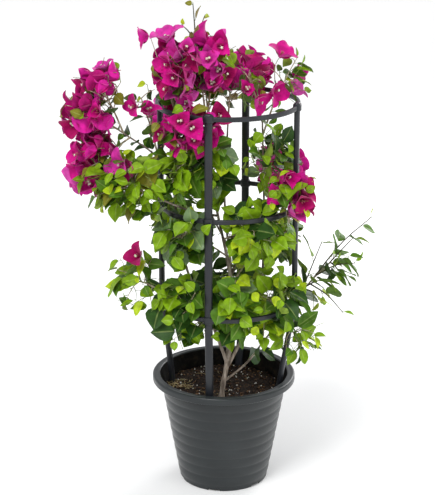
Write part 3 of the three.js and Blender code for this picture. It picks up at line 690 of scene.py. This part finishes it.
def make_pot():
    batch = lathe(pot_outline(), POT_FACETS)
    pot = make_piece("pot_banded", batch, ["pot_plastic", "pot_inside"], ["pot"])
    cutter = new_object("cutter", drain_cutters())
    cut = pot.modifiers.new("drain", "BOOLEAN")
    cut.operation = "DIFFERENCE"
    cut.solver = "EXACT"
    cut.object = cutter
    graph = bpy.context.evaluated_depsgraph_get()
    mesh = bpy.data.meshes.new_from_object(pot.evaluated_get(graph))
    pot.modifiers.clear()
    pot.data = mesh
    bpy.data.objects.remove(cutter)
    mesh.set_sharp_from_angle(angle=math.radians(48))
    for face in mesh.polygons:
        inward = face.center.xy.dot(face.normal.xy) < 0
        face.material_index = 1 if inward and FLOOR < face.center.z / MM < POT_HEIGHT - 4 else 0


def drain_cutters():
    """A box at the foot for each drain slot."""
    mesh = bpy.data.meshes.new("cutter")
    work = bmesh.new()
    for i in range(DRAIN_SLOTS):
        turn = Matrix.Rotation(math.tau * (i + 0.28) / DRAIN_SLOTS, 4, "Z")
        place = Matrix.Translation(mm((FOOT_RADIUS, 0, DRAIN_SLOT[2] / 2 - 1)))
        size = Matrix.Diagonal((*mm(DRAIN_SLOT), 1))
        bmesh.ops.create_cube(work, size=1, matrix=turn @ place @ size)
    work.to_mesh(mesh)
    work.free()
    return mesh


def soil_height(x, y):
    """The soil's surface in millimetres: low swells, crumbs, and a sunken edge."""
    reach = math.hypot(x, y) / inner_radius(SOIL_TOP)
    swell = noise.noise(Vector((x / 46, y / 46, 3.1))) * 4.0
    lumps = noise.noise(Vector((x / 11, y / 11, 7.7))) * 2.2
    crumbs = noise.noise(Vector((x / 3.6, y / 3.6, 1.3))) * 1.5
    edge = -SOIL_EDGE_DROP * max(0, reach - SOIL_EDGE) / (1 - SOIL_EDGE)
    return SOIL_TOP - 2.5 + swell + lumps + crumbs + edge


def make_soil():
    """The soil: its surface from the middle outwards, its wall, and its flat underside."""
    top = inner_radius(SOIL_TOP - 8) - CLEAR
    base = inner_radius(FLOOR) - CLEAR
    points = [mm((0, 0, soil_height(0, 0)))]
    for ring in range(1, SOIL_RINGS + 1):
        for k in range(SOIL_FACETS):
            x, y = polar(top * ring / SOIL_RINGS, math.tau * (k + 0.5 * (ring % 2)) / SOIL_FACETS)
            points.append(mm((x, y, soil_height(x, y))))
    foot = len(points)
    points += [mm((*polar(base, math.tau * k / SOIL_FACETS), FLOOR + CLEAR)) for k in range(SOIL_FACETS)]
    faces = [(0, 1 + k, 1 + (k + 1) % SOIL_FACETS) for k in range(SOIL_FACETS)]
    for low in range(1, foot, SOIL_FACETS):
        high = low + SOIL_FACETS
        for k in range(SOIL_FACETS):
            j = (k + 1) % SOIL_FACETS
            faces.append((low + k, high + k, high + j, low + j))
    faces.append(tuple(reversed(range(foot, len(points)))))
    make_piece("soil_bed", Batch().add(points, faces), ["soil_crumb"], ["soil"])


def pebble(middle, size, rand, squash=1.0):
    """A small rough lump."""
    rings, sides = 4, 6
    top = Vector((0, 0, size * squash))
    points, faces = [middle + top], []
    for r in range(1, rings):
        lean = math.pi * r / rings
        for k in range(sides):
            reach = size * rand.between(0.75, 1.15)
            flat = polar(reach * math.sin(lean), math.tau * (k + 0.5 * r) / sides)
            points.append(middle + Vector((*flat, reach * squash * math.cos(lean))))
    points.append(middle - top)
    for k in range(sides):
        j = (k + 1) % sides
        faces.append((0, 1 + k, 1 + j))
        for r in range(rings - 2):
            a, b = 1 + r * sides, 1 + (r + 1) * sides
            faces.append((a + k, b + k, b + j, a + j))
        last = 1 + (rings - 2) * sides
        faces.append((last + j, last + k, len(points) - 1))
    return points, faces


def make_straw():
    """Dry fibres and old petioles that lie on the soil, most of them in one corner."""
    rand = Seeded(611)
    batch = Batch()
    for k in range(STRAWS):
        spread = 22 if k % 3 else 80
        x, y = (middle + rand.between(-spread, spread) for middle in STRAW_CORNER)
        if math.hypot(x, y) > RIM_INNER_RADIUS - 12:
            continue
        angle, length = rand.turn(), rand.between(8, 26)
        bow = rand.between(-0.3, 0.3) * length
        route = []
        for i in range(6):
            share = i / 5
            along, across = (share - 0.5) * length, 4 * bow * share * (1 - share)
            px = x + along * math.cos(angle) - across * math.sin(angle)
            py = y + along * math.sin(angle) + across * math.cos(angle)
            route.append(mm((px, py, soil_height(px, py) + 0.5 + 1.6 * math.sin(math.pi * share))))
        batch.add(*tube(route, (rand.between(0.5, 0.8), 0.3), 5))
    make_piece("soil_straw", batch, ["straw"])


def make_crumbs():
    """Perlite grains and bark chips on the soil."""
    rand = Seeded(501)
    grains, chips = Batch(), Batch()
    edge = inner_radius(SOIL_TOP) - 5

    def lay(low, high, lift):
        """A lump's size, and the place of its middle on the soil."""
        x, y = polar(edge * math.sqrt(rand()), rand() * math.tau)
        size = rand.between(low, high)
        return size * MM, mm((x, y, soil_height(x, y) + size * lift))

    for _ in range(GRAINS):
        size, middle = lay(0.5, 1.9, 0.4)
        grains.add(*pebble(middle, size, rand))
    for _ in range(CHIPS):
        size, middle = lay(1.4, 4.2, 0.2)
        points, faces = pebble(Vector(), size, rand, 0.45)
        turn = Matrix.Rotation(rand.turn(), 4, "Z") @ Matrix.Rotation(rand.between(-0.6, 0.6), 4, "X")
        turn = turn @ Matrix.Diagonal((1, rand.between(0.35, 0.7), 1, 1))
        chips.add([middle + turn @ p for p in points], faces)
    make_piece("perlite_grains", grains, ["perlite"])
    make_piece("soil_chips", chips, ["bark_chip"])


# Climbing frame


def rounded_oblong(width, height, corner):
    """The outline of an oblong with round corners, counter-clockwise."""
    points = []
    for quarter, (sx, sy) in enumerate([(1, -1), (1, 1), (-1, 1), (-1, -1)]):
        middle = (sx * (width / 2 - corner), sy * (height / 2 - corner))
        start = -90 + 90 * quarter
        points += arc_outline(middle, corner, start, start + 90, 3)
    return points


def make_post(side, quarter):
    """One post, from its foot in the soil to its cap, with a round-edged collar at each ring."""
    out = Vector((*polar(1, quarter * math.pi / 2 - FRAME_TURN), 0))
    along = UP.cross(out)
    edge = [(COLLAR_HALF, 0), (COLLAR_HALF - 0.4, COLLAR_GROWTH - 0.9), (COLLAR_HALF - 1.3, COLLAR_GROWTH)]
    collar = [(-z, grow) for z, grow in edge] + edge[::-1]

    def ring(x, radius, z, grow):
        middle = mm((x, 0, z)) + out * radius * MM
        size = (POST_SIZE[0] + 2 * grow, POST_SIZE[1] + 2 * grow)
        corner = min(size) / 2 - 0.8
        return [middle + out * u * MM + along * v * MM for u, v in rounded_oblong(*size, corner)]

    rings = [ring(FOOT_X, POST_FOOT_RADIUS, POST_FOOT_HEIGHT, 0)]
    for height in RING_HEIGHTS.values():
        rings += [ring(FRAME_X, FRAME_RADIUS, height + z, grow) for z, grow in collar]
    for z, grow in POST_CAP:
        rings.append(ring(FRAME_X, FRAME_RADIUS, RING_HEIGHTS["top"] + COLLAR_HALF + z, grow))
    batch = Batch().add(*skin(rings))
    name = f"post_{side}"
    make_piece(f"{name}_moulded", batch, ["frame_plastic"], [name], math.radians(40))


def make_ring(level, height):
    """One ring, a flat strip on edge with round corners, through the four collars."""
    outline = rounded_oblong(*RING_SIZE, RING_CORNER)
    rings = []
    for k in range(RING_FACETS):
        out = Vector((*polar(1, math.tau * k / RING_FACETS), 0))
        middle = mm((FRAME_X, 0, height)) + out * FRAME_RADIUS * MM
        rings.append([middle - out * u * MM + UP * v * MM for u, v in outline])
    batch = Batch().add(*skin(rings, closed=True))
    arcs = [f"ring_{level}_{a}_to_{b}" for a, b in zip(POSTS, POSTS[1:] + POSTS[:1])]
    make_piece(f"ring_{level}_hoop", batch, ["frame_plastic"], arcs)


# Limbs


class Limb:
    """A limb's line, which starts on its parent, and its radius at either end."""

    def __init__(self, on, at, places, radii):
        start = [limbs[on].point(at)] if on else []
        self.fine = curve_points(start + [mm(p) for p in places], LIMB_STEPS)
        self.radii = radii

    def point(self, share):
        place = share * LIMB_STEPS
        i = min(LIMB_STEPS - 1, int(place))
        return self.fine[i].lerp(self.fine[i + 1], place - i)


limbs = {}


def bark_relief(name):
    """How much fuller or thinner the bark is at a point: ridges along the limb and old leaf nodes."""
    shift = sum(map(ord, name))
    foot = LIMBS["main_stem"][2][0][2]

    def relief(point, share):
        p = point / MM
        ridges = noise.noise(Vector((p.x / 2.6, p.y / 2.6, p.z / 16 + shift))) * 0.16
        knots = noise.noise(Vector((shift, p.z / 17, 0))) * 0.12
        flare = 1
        if name == "main_stem":
            flare += (ROOT_FLARE - 1) * max(0, 1 - (p.z - foot) / FLARE_HEIGHT) ** 2
        return (1 + ridges + knots) * flare

    return relief


def make_limbs():
    batch = Batch()
    for name, facts in LIMBS.items():
        limb = limbs[name] = Limb(*facts)
        steps = max(8, round(length_of(limb.fine) / MM / BARK_STEP))
        route = evenly(limb.fine, steps)
        batch.add(*tube(route, limb.radii, BARK_SIDES, bark_relief(name)))
    make_piece("bark_limbs", batch, ["bark"], LIMBS)


# Spaces


def out_of(half, offset):
    """How far out an offset lies in an ellipsoid of a half size, where 1 is its surface."""
    return math.sqrt(sum((d / h) ** 2 for d, h in zip(offset, half)))


def in_reach(point):
    """Whether a point is inside the model's box, or just past it."""
    margin = REACH_MARGIN * MM
    return all(a - margin <= p <= b + margin for a, p, b in zip(cad_box[0], point, cad_box[1]))


class Space:
    """The room a mass keeps to: its ellipsoid, on its own side of a plane to each other mass."""

    def __init__(self, name, stretch):
        self.centre = Vector(MASSES[name][2])
        self.half = [h * stretch for h in MASSES[name][3]]
        self.planes = []
        for other, facts in MASSES.items():
            if other == name:
                continue
            towards = Vector(facts[2]) - self.centre
            distance = towards.length
            towards.normalize()
            mine, theirs = 1 / out_of(MASSES[name][3], towards), 1 / out_of(facts[3], towards)
            share = (distance**2 + mine**2 - theirs**2) / (2 * distance**2)
            limit = distance * min(0.8, max(0.2, share)) - SPACE_MARGIN
            self.planes.append((towards, limit))

    def holds(self, point, slack=0.0):
        """Whether a point in metres is in the space, with some millimetres of slack at the planes."""
        out = point / MM - self.centre
        if out_of(self.half, out) > 1 or not in_reach(point):
            return False
        return all(out.dot(way) <= limit + slack for way, limit in self.planes)


class Room:
    """All the space within the model's reach."""

    def holds(self, point, slack=0.0):
        return in_reach(point)


# Clearance


class Clearance:
    """What is already placed, so that leaves, flowers and twigs don't cut each other."""

    CELL = 0.03

    def __init__(self, *solid):
        self.cells = {}
        self.solid = solid

    def keys(self, points):
        low = [min(p[k] for p in points) for k in range(3)]
        high = [max(p[k] for p in points) for k in range(3)]
        spans = [range(math.floor(a / self.CELL), math.floor(b / self.CELL) + 1) for a, b in zip(low, high)]
        return [(i, j, k) for i in spans[0] for j in spans[1] for k in spans[2]]

    def free(self, points, faces, core=LEAF_CORE):
        """The tree of the body's core if it cuts nothing, and otherwise nothing."""
        whole = BVHTree.FromPolygons(points, faces)
        if any(whole.overlap(other) for other in self.solid):
            return None
        middle = sum(points, Vector()) / len(points)
        tree = BVHTree.FromPolygons([middle.lerp(p, core) for p in points], faces)
        seen = set()
        for key in self.keys(points):
            for number, other in self.cells.get(key, ()):
                if number not in seen:
                    seen.add(number)
                    if tree.overlap(other):
                        return None
        return tree

    def add(self, points, tree):
        number = id(tree)
        for key in self.keys(points):
            self.cells.setdefault(key, []).append((number, tree))


def frame_tree(names):
    """One tree of the model's own meshes of these nodes."""
    batch = Batch()
    for name in names:
        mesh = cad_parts[name].data
        batch.add([v.co.copy() for v in mesh.vertices], [tuple(p.vertices) for p in mesh.polygons])
    return BVHTree.FromPolygons(batch.points, batch.faces)


hard = frame_tree(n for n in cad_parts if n.startswith(("post_", "ring_")) or n == "pot")
clearance = Clearance(hard, frame_tree(LIMBS))


# Leaves


def blade(place, stations, across, half_width, shape, thickness, rib=0):
    """A closed thin blade, whose two sheets share its rim, with a look of its own along its midrib."""
    count = len(across)
    ribs = ((count - 3) // 2, (count - 1) // 2)
    inner = count - 2
    top, bottom = [place(0, 0, 0)], []
    for u in stations:
        half = half_width(u)
        top += [place(u, v * half, shape(u, v)) for v in across]
    top.append(place(1, 0, shape(1, 0)))
    for u in stations:
        half = half_width(u)
        bottom += [place(u, v * half, shape(u, v) - thickness) for v in across[1:-1]]
    points = top + bottom
    tip = 1 + len(stations) * count

    def up(row, i):
        return 1 + row * count + i

    def down(row, i):
        if i in (0, count - 1):
            return up(row, i)
        return len(top) + row * inner + i - 1

    faces, looks = [], []
    for row in range(len(stations) - 1):
        for i in range(count - 1):
            faces.append((up(row, i), up(row + 1, i), up(row + 1, i + 1), up(row, i + 1)))
            looks.append(rib if i in ribs else 0)
            faces.append((down(row, i), down(row, i + 1), down(row + 1, i + 1), down(row + 1, i)))
            looks.append(1)
    last = len(stations) - 1
    for i in range(count - 1):
        faces.append((0, up(0, i), up(0, i + 1)))
        faces.append((0, down(0, i + 1), down(0, i)))
        faces.append((tip, up(last, i + 1), up(last, i)))
        faces.append((tip, down(last, i), down(last, i + 1)))
        looks += [0, 1, 0, 1]
    return points, faces, looks


def leaf_half(u):
    """Half width of a leaf along its length, as a share of its greatest half width."""
    return u**0.75 * (1 - u) ** 1.15 / LEAF_PEAK


def make_leaf(root, direction, normal, length, slim, rand):
    """An ovate leaf with a pointed tip, folded along its midrib, drooping and a little wavy."""
    side = direction.cross(normal).normalized()
    width = length * slim * rand.between(0.76, 1.0)
    groove = 0.016 * length
    fold = rand.between(0.06, 0.38)
    droop = rand.between(0.03, 0.34)
    curl = rand.between(-0.06, 0.08)
    wave, phase = rand.between(0.015, 0.055), rand.turn()

    def shape(u, v):
        half = leaf_half(u) * width / 2
        rise = abs(v) * half * fold - droop * length * u * u
        ripple = wave * length * v * v * math.sin(7 * u + phase + (2 if v > 0 else 0))
        midrib = groove * (1 - u) if v == 0 else 0
        return rise + ripple + curl * length * v * u - midrib

    def place(u, across, lift):
        return root + (direction * (u * length) + side * (across * width / 2) + normal * lift) * MM

    return blade(place, LEAF_STATIONS, LEAF_ACROSS, leaf_half, shape, LEAF_THICKNESS, RIB)


# Flowers


def bract_half(u):
    return u**0.5 * (1 - u) ** 0.85 / BRACT_PEAK


def make_bract(root, axis, radial, length, opening, rand):
    """One papery bract: it rises beside the flower's axis and opens outwards, cupped and wavy."""
    side = axis.cross(radial).normalized()
    width = length * rand.between(0.74, 0.93)
    lean_low, lean_high = opening * 0.45, opening * rand.between(1.0, 1.6)
    cup = rand.between(0.2, 0.5)
    wave, phase = rand.between(0.015, 0.05), rand.turn()
    quilt = rand.between(0.02, 0.05)
    twist = rand.between(-0.14, 0.14)
    curl = rand.between(-0.6, 1.6)
    steps = 24
    spine = [(0.0, 0.0)]
    for i in range(steps):
        lean = lerp(lean_low, lean_high, (i + 0.5) / steps)
        spine.append((spine[-1][0] + math.sin(lean) / steps, spine[-1][1] + math.cos(lean) / steps))

    def shape(u, v):
        half = bract_half(u) * width / 2
        ripple = wave * length * v * v * math.sin(9 * u + phase + (2.4 if v > 0 else 0))
        veins = quilt * length * math.sin(20 * u - 7 * abs(v)) * abs(v) * (1 - abs(v))
        keel = quilt * length * (1 - abs(v)) ** 2 * (1 - u)
        bend = twist * v * half - curl * length * max(0, u - 0.7) ** 2
        return v * v * half * cup + ripple + veins - keel + bend

    def place(u, across, lift):
        i = min(steps - 1, int(u * steps))
        share = u * steps - i
        out = lerp(spine[i][0], spine[i + 1][0], share) * length
        rise = lerp(spine[i][1], spine[i + 1][1], share) * length
        lean = lerp(lean_low, lean_high, u)
        inward = axis * math.sin(lean) - radial * math.cos(lean)
        return root + (radial * out + axis * rise + side * (across * width / 2) + inward * lift) * MM

    return blade(place, BRACT_STATIONS, BRACT_ACROSS, bract_half, shape, BRACT_THICKNESS)


def make_star(root, axis, rand):
    """A slender tube that opens into a five-pointed cream star."""
    length = rand.between(12, 17)
    end = root + axis * length * MM
    stalk = tube([root, root + axis * length * 0.6 * MM, end], (0.8, 1.05), 6)
    across = axis.cross(UP).normalized()
    third = axis.cross(across)
    size = rand.between(2.8, 4.0)
    points = [end + axis * 0.4 * MM, end - axis * 0.9 * MM]
    faces = []
    turn = rand.turn()
    for k in range(10):
        reach, lift = (size * 0.56, 1.5) if k % 2 else (size, 0.9)
        out = swing(across, third, turn + k * math.pi / 5)
        points.append(end + (out * reach + axis * lift) * MM)
        a, b = 2 + k, 2 + (k + 1) % 10
        faces += [(0, a, b), (1, b, a)]
    return stalk, (points, faces)


# Growth

leaf_batches = {tint: Batch() for tint in LEAF_COLOURS}
bract_batches = {tint: Batch() for tint in BRACT_COLOURS}
woody, green, shoots, stars, star_tubes, buds = (Batch() for _ in range(6))


def outward_at(point):
    out = Vector((point.x - FRAME_X * MM, point.y, 0))
    return out.normalized() if out.length > 1e-6 else Vector((0, -1, 0))


def deal(palette, rand):
    """One of a palette's colours, by its share."""
    draw = rand()
    for tint, share in palette.items():
        draw -= share
        if draw <= 0:
            return tint
    return next(iter(palette))


def bend_route(start, end, rand, rise, steps):
    """A twig's line: an arch with a little wander."""
    span = end - start
    side = span.cross(UP)
    side = side.normalized() if side.length > 1e-9 else Vector((1, 0, 0))
    arch = UP * span.length * rise + side * span.length * rand.between(-0.12, 0.12)
    middle = start.lerp(end, 0.5) + arch
    return curve_points([start, middle, end], steps)


def put_leaf(point, along, radial, length, slim, tint, space, rand):
    """A leaf on its stalk at a point of a twig. The first try that is clear stays."""
    outward = outward_at(point)
    for attempt in range(TRIES):
        size = length * rand.between(0.8, 1.12) * SHRINK**attempt
        stalk_way = (along * 0.5 + radial * 0.9 + outward * 0.25 + UP * 0.2 + rand.offset(0.5)).normalized()
        stalk = size * rand.between(0.18, 0.32)
        droop = UP * rand.between(-0.75, 0.1)
        direction = (stalk_way * 0.75 + radial * 0.3 + outward * 0.35 + droop).normalized()
        facing = outward * 0.75 + UP * 0.62 + rand.offset(0.9)
        normal = (facing - direction * facing.dot(direction)).normalized()
        root = point + stalk_way * stalk * MM
        points, faces, looks = make_leaf(root, direction, normal, size, slim, rand)
        if not all(space.holds(p, SLACK) for p in points[1::7]):
            continue
        tree = clearance.free(points, faces)
        if tree is None:
            continue
        clearance.add(points, tree)
        leaf_batches[tint].add(points, faces, looks)
        knee = point.lerp(root, 0.55) + UP * 0.4 * MM
        green.add(*tube([point, knee, root + direction * 0.6 * MM], PETIOLE_RADII, 4))
        return


def put_flower(point, along, space, rand, tint, size, spread):
    """A flower of three bracts on its own short stalk, and whether there was room for it."""
    outward = outward_at(point)
    for attempt in range(TRIES):
        way = (along * 0.6 + outward * 0.45 + UP * 0.15 + rand.offset(1.5)).normalized()
        root = point + way * rand.between(3, 20) * MM
        axis = (way * 0.7 + outward * 0.5 + rand.offset(1.0)).normalized()
        across = axis.cross(UP).normalized()
        third = axis.cross(across)
        turn = rand.turn()
        thirds = [turn + k * math.tau / 3 for k in range(3)]
        length = BRACT_LENGTH * rand.between(0.84, 1.1) * SHRINK**attempt * size
        opening = rand.between(*spread)
        bodies = []
        for angle in thirds:
            radial = swing(across, third, angle + rand.between(-0.12, 0.12))
            base = root + radial * 0.9 * MM
            bodies.append(make_bract(base, axis, radial, length * rand.between(0.92, 1.06), opening, rand))
        points = [p for body in bodies for p in body[0]]
        if not all(space.holds(p, SLACK) for p in points[::6]):
            continue
        trees = [clearance.free(body[0], body[1], BRACT_CORE) for body in bodies]
        if None in trees:
            continue
        for body, tree in zip(bodies, trees):
            clearance.add(body[0], tree)
            bract_batches[tint].add(*body)
        green.add(*tube([point, point.lerp(root, 0.5) + UP * 0.5 * MM, root], (0.6, 0.55), 4))
        for angle in thirds:
            lean = (axis + swing(across, third, angle) * 0.2).normalized()
            if rand() < STAR_SHARE:
                stalk, star = make_star(root, lean, rand)
                star_tubes.add(*stalk)
                stars.add(*star)
            else:
                star_tubes.add(*tube([root, root + lean * 9 * MM, root + lean * 14 * MM], (0.7, 1.1), 5))
        return True
    return False


def put_bud(route, rand, batch):
    """A tuft of unopened leaves at a shoot's end."""
    point = route[-1]
    along = (point - route[-2]).normalized()
    for _ in range(2):
        way = (along + rand.offset(0.6)).normalized()
        length = rand.between(2, 4)
        batch.add(*tube([point, point + way * length * 0.5 * MM, point + way * length * MM], (0.7, 0.25), 4))


def leaf_along(route, kind, palette, space, rand, first):
    """Leaves up a twig, one at each node, on alternate sides that turn slowly round it."""
    count = max(1, int(length_of(route) / MM * (1 - first) / kind["spacing"]))
    fine = evenly(route, LEAF_STEPS)
    turn = rand.turn()
    tint = deal(PALETTES[palette], rand)
    young_tint = deal(YOUNG.get(palette, YOUNG["plain"]), rand)
    for i in range(count + 1):
        share = lerp(first, 1.0, i / count)
        k = min(LEAF_STEPS - 1, int(share * LEAF_STEPS))
        along = (fine[k + 1] - fine[k]).normalized()
        across = along.cross(UP if abs(along.z) < 0.9 else Vector((1, 0, 0))).normalized()
        radial = swing(across, along.cross(across), turn + i * NODE_TURN)
        colour, growth = (young_tint, TIP_SIZE) if share > TIP_START else (tint, 1.0)
        size = kind["length"] * growth * rand.between(0.86, 1.1)
        if colour == "lime_glow":
            size *= LIME_SIZE
        put_leaf(fine[k], along, radial, size, kind.get("slim", 1), colour, space, rand)


def flower_along(route, number, space, rand, size, spread=CLUSTER_OPENING):
    """A cluster of flowers at a twig's tip, and a few more on short stalks down its outer half."""
    # One tint for all the twig's flowers, dealt from the magenta and its copies with painted shade and
    # painted light.
    tint = deal(BRACT_SHARES, rand)
    placed = 0
    for share in [1.0] * number + ([0.78, 0.56] if number > 1 else []):
        k = max(1, round(share * (len(route) - 1)))
        along = (route[k] - route[k - 1]).normalized()
        placed += put_flower(route[k], along, space, rand, tint, size, spread)
    if not placed:
        put_bud(route, rand, buds)


def mass_stem(name):
    """The stem's route, from its limb to the middle of its space, moved aside until it is clear."""
    start, heart = limbs[MASSES[name][0]].point(MASSES[name][1]), mm(MASSES[name][2])
    span = heart - start
    along = span.normalized()
    side = along.cross(UP).normalized()
    rise = side.cross(along)
    for attempt in range(STEM_TRIES):
        shift = 0 if attempt == 0 else 0.03 * span.length + attempt * MM
        knee = start.lerp(heart, 0.5) + UP * span.length * 0.06
        knee += swing(side * shift, rise * shift, attempt * GOLDEN_ANGLE)
        route = curve_points([start, knee, heart], 14)
        points, faces = tube([p for p in route if (p - start).length > STEM_START * MM], STEM_RADII, 5)
        tree = clearance.free(points, faces)
        if tree is not None:
            return route, points, tree
    raise RuntimeError(f"{name}: no clear way for its stem")


def spread_point(centre, half, k, count, rand):
    """The target of one of a mass's twigs: all round its middle, and well out from it."""
    lift = 1 - 2 * (k + 0.5) / count
    angle = k * GOLDEN_ANGLE + rand() * 0.9
    depth = rand.between(0.5, 0.86)
    way = Vector((*polar(math.sqrt(1 - lift * lift), angle), lift))
    return Vector([c + h * depth * w for c, h, w in zip(centre, half, way)]) * MM


def grow_twig(start, target, radii, rand, rise, batch):
    """A twig's route if it is clear of the frame and pot, with its mesh added to a batch."""
    route = bend_route(start, target, rand, rise, 7)
    points, faces = tube(route, radii, 5)
    if BVHTree.FromPolygons(points, faces).overlap(hard):
        return None
    batch.add(points, faces)
    return route


def grow_mains(name, stem, space, rand):
    """The main twigs of a mass, and the nodes of its stem that are left."""
    _, _, centre, half, count, bears, _ = MASSES[name]
    nodes = evenly(stem, STEM_NODES)[1:]
    tips = TIPS.get(name)
    total = len(tips) if tips else round(count * BEARS[bears]["more"])
    radii, batch = (SHOOT_RADII, shoots) if tips else (TWIG_RADII, woody)
    twigs = []
    for k in range(total):
        target = mm(tips[k]) if tips else spread_point(centre, half, k, total, rand)
        if not space.holds(target):
            continue
        near = sorted(nodes, key=lambda p: (p - target).length)
        near = [p for p in near if (p - target).length > SHORTEST_TWIG * MM and space.holds(p, NODE_SLACK)]
        if not near:
            continue
        root = near[int(rand() * 0.8 * len(near))] if tips else near[0]
        route = grow_twig(root, target, radii, rand, rand.between(0.02, 0.16), batch)
        if route:
            twigs.append(route)
            if len(nodes) > FEWEST_NODES:
                nodes.remove(root)
    return twigs, nodes


def grow_sides(twigs, number, space, rand):
    """The side twigs of a mass, that many on each main twig where there is room."""
    sides = []
    steps, first, last = SIDE_STEPS
    for route in twigs:
        fine = evenly(route, steps)
        for i in range(number):
            k = int(lerp(first, last, (i + rand() * 0.6) / number))
            along = (fine[k + 1] - fine[k]).normalized()
            across = along.cross(UP).normalized() if abs(along.z) < 0.95 else Vector((1, 0, 0))
            radial = swing(across, along.cross(across), i * NODE_TURN + rand() * 2)
            reach = rand.between(18, 42) * MM
            target = fine[k] + (along * 0.55 + radial * 0.85 + UP * 0.1).normalized() * reach
            if space.holds(target):
                side = grow_twig(fine[k], target, SIDE_RADII, rand, 0.08, green)
                if side:
                    sides.append(side)
    return sides


def grow_mass(name, index, stem):
    """All that a mass bears: twigs, then its single flowers, its clusters, and its leaves."""
    bears, palette = MASSES[name][5:]
    kind = BEARS[bears]
    rand = Seeded(1 + index)
    space = Space(name, TWIG_SPREAD)
    wide = Room() if name in TIPS else Space(name, SPREAD)
    twigs, nodes = grow_mains(name, stem, space, rand)
    sides = grow_sides(twigs, kind["sides"], space, rand)
    for place, size in LONE_FLOWERS.get(name, ()):
        target = mm(place)
        root = min(nodes, key=lambda p: abs((p - target).length - LONE_TWIG * MM))
        end = target - (target - root).normalized() * LONE_REACH * size * MM
        twig = grow_twig(root, end, TWIG_RADII, rand, 0.1, woody)
        flower_along(twig, 1, Room(), rand, size, LONE_OPENING)
    for routes, number in zip((twigs, sides), kind.get("flowers", ())):
        if number:
            for route in routes:
                flower_along(route, number, wide, rand, kind.get("flower", 1))
    for route in twigs + sides:
        if rand() < kind["leafy"]:
            leaf_along(route, kind, palette, wide, rand, LEAVES_FROM)
    leaf_along(stem, STEM_LEAVES, "mixed", Room(), rand, STEM_LEAVES_FROM)
    if "flowers" not in kind:
        for route in twigs + sides:
            put_bud(route, rand, green)


def grow_foliage():
    """The stem of every mass, then what each mass bears, then the limbs' own leaves."""
    stems = []
    for name in MASSES:
        route, points, tree = mass_stem(name)
        stems.append(route)
        clearance.add(points, tree)
        woody.add(*tube(route, STEM_RADII, 7))
    for index, name in enumerate(MASSES):
        grow_mass(name, index, stems[index])
    rand = Seeded(301)
    # The limbs' own leaves lie deep in the bush, and their dark palette paints shade on them.
    for name, length in LIMB_LEAVES.items():
        kind = dict(length=length, spacing=LIMB_LEAF_SPACING)
        leaf_along(limbs[name].fine, kind, "dark", Room(), rand, LEAVES_FROM)


def make_foliage():
    leafy = [name for name, facts in MASSES.items() if not facts[5].startswith("bloom")]
    blooming = [name for name in MASSES if name not in leafy]
    for tint, batch in leaf_batches.items():
        keys = [f"leaf_{tint}", f"leaf_{tint}_under", f"leaf_{tint}_rib"]
        make_piece(f"leaves_{tint}", batch, keys, leafy, RIM_ANGLE)
    for tint, batch in bract_batches.items():
        keys = [f"bract_{tint}", f"bract_{tint}_under"]
        make_piece(f"bracts_{tint}", batch, keys, blooming, RIM_ANGLE)
    make_piece("twigs_woody", woody, ["young_bark"], MASSES)
    make_piece("twigs_green", green, ["green_twig"], MASSES)
    make_piece("shoots", shoots, ["shoot_bark"], TIPS)
    make_piece("star_petals", stars, ["cream_petal"], blooming)
    make_piece("star_tubes", star_tubes, ["flower_tube"], blooming)
    make_piece("flower_buds", buds, ["bud"], blooming)


# Stage, light and camera


def make_stage():
    mesh = bpy.data.meshes.new("floor")
    corners = [(x * FLOOR_HALF, y * FLOOR_HALF, 0) for x, y in ((-1, -1), (1, -1), (1, 1), (-1, 1))]
    mesh.from_pydata(corners, [], [(0, 1, 2, 3)])
    mesh.materials.append(new_material("floor", (0.93, 0.93, 0.925), 0.8))
    new_object("floor", mesh)
    world = bpy.data.worlds.new("studio")
    world.use_nodes = True
    nodes, links = world.node_tree.nodes, world.node_tree.links
    place, parts = nodes.new("ShaderNodeTexCoord"), nodes.new("ShaderNodeSeparateXYZ")
    fall = nodes.new("ShaderNodeMapRange")
    for socket, value in zip(("From Min", "From Max", "To Min", "To Max"), SKY):
        fall.inputs[socket].default_value = value
    nodes["Background"].inputs["Color"].default_value = (0.97, 0.98, 1.0, 1)
    links.new(place.outputs["Generated"], parts.inputs["Vector"])
    links.new(parts.outputs["Z"], fall.inputs["Value"])
    links.new(fall.outputs["Result"], nodes["Background"].inputs["Strength"])
    bpy.context.scene.world = world
    view = bpy.context.scene.view_settings
    view.view_transform = "Standard"
    view.look = "None"
    view.exposure = 0
    view.gamma = 1


def aim_light(data, place, aim, power):
    """A light that shines from a place towards another."""
    data.energy = power
    light = new_object(data.name, data)
    light.location = place
    light.rotation_euler = (Vector(aim) - Vector(place)).to_track_quat("-Z", "Y").to_euler()


def add_lamp(name, place, size, power):
    """A round soft light that shines at the middle of the bush."""
    data = bpy.data.lights.new(name, "AREA")
    data.shape = "DISK"
    data.size = size
    aim_light(data, place, (0, 0, 0.5), power)


def add_sun(name, place, strength, spread):
    """Even light over the whole floor, from the direction of a place, with soft shadows."""
    data = bpy.data.lights.new(name, "SUN")
    data.angle = math.radians(spread)
    aim_light(data, place, (0, 0, 0), strength)


def add_camera():
    data = bpy.data.cameras.new("camera")
    data.lens = CAMERA_LENS
    data.sensor_width = 36
    data.clip_start = 0.05
    data.clip_end = 200
    camera = new_object("camera", data)
    camera.location = CAMERA_PLACE
    camera.rotation_euler = (math.pi / 2 - CAMERA_TILT, 0, 0)
    bpy.context.scene.camera = camera


make_pot()
make_soil()
make_crumbs()
make_straw()
for quarter, side in enumerate(POSTS):
    make_post(side, quarter)
for level, height in RING_HEIGHTS.items():
    make_ring(level, height)
make_limbs()
grow_foliage()
make_foliage()
make_stage()
add_sun("key", (-0.9, -1.7, 2.6), 1.6, 24)
add_lamp("fill", (2.4, -1.6, 1.6), 1.4, 14)
add_lamp("back", (1.6, 2.2, 1.6), 1.6, 40)
add_camera()
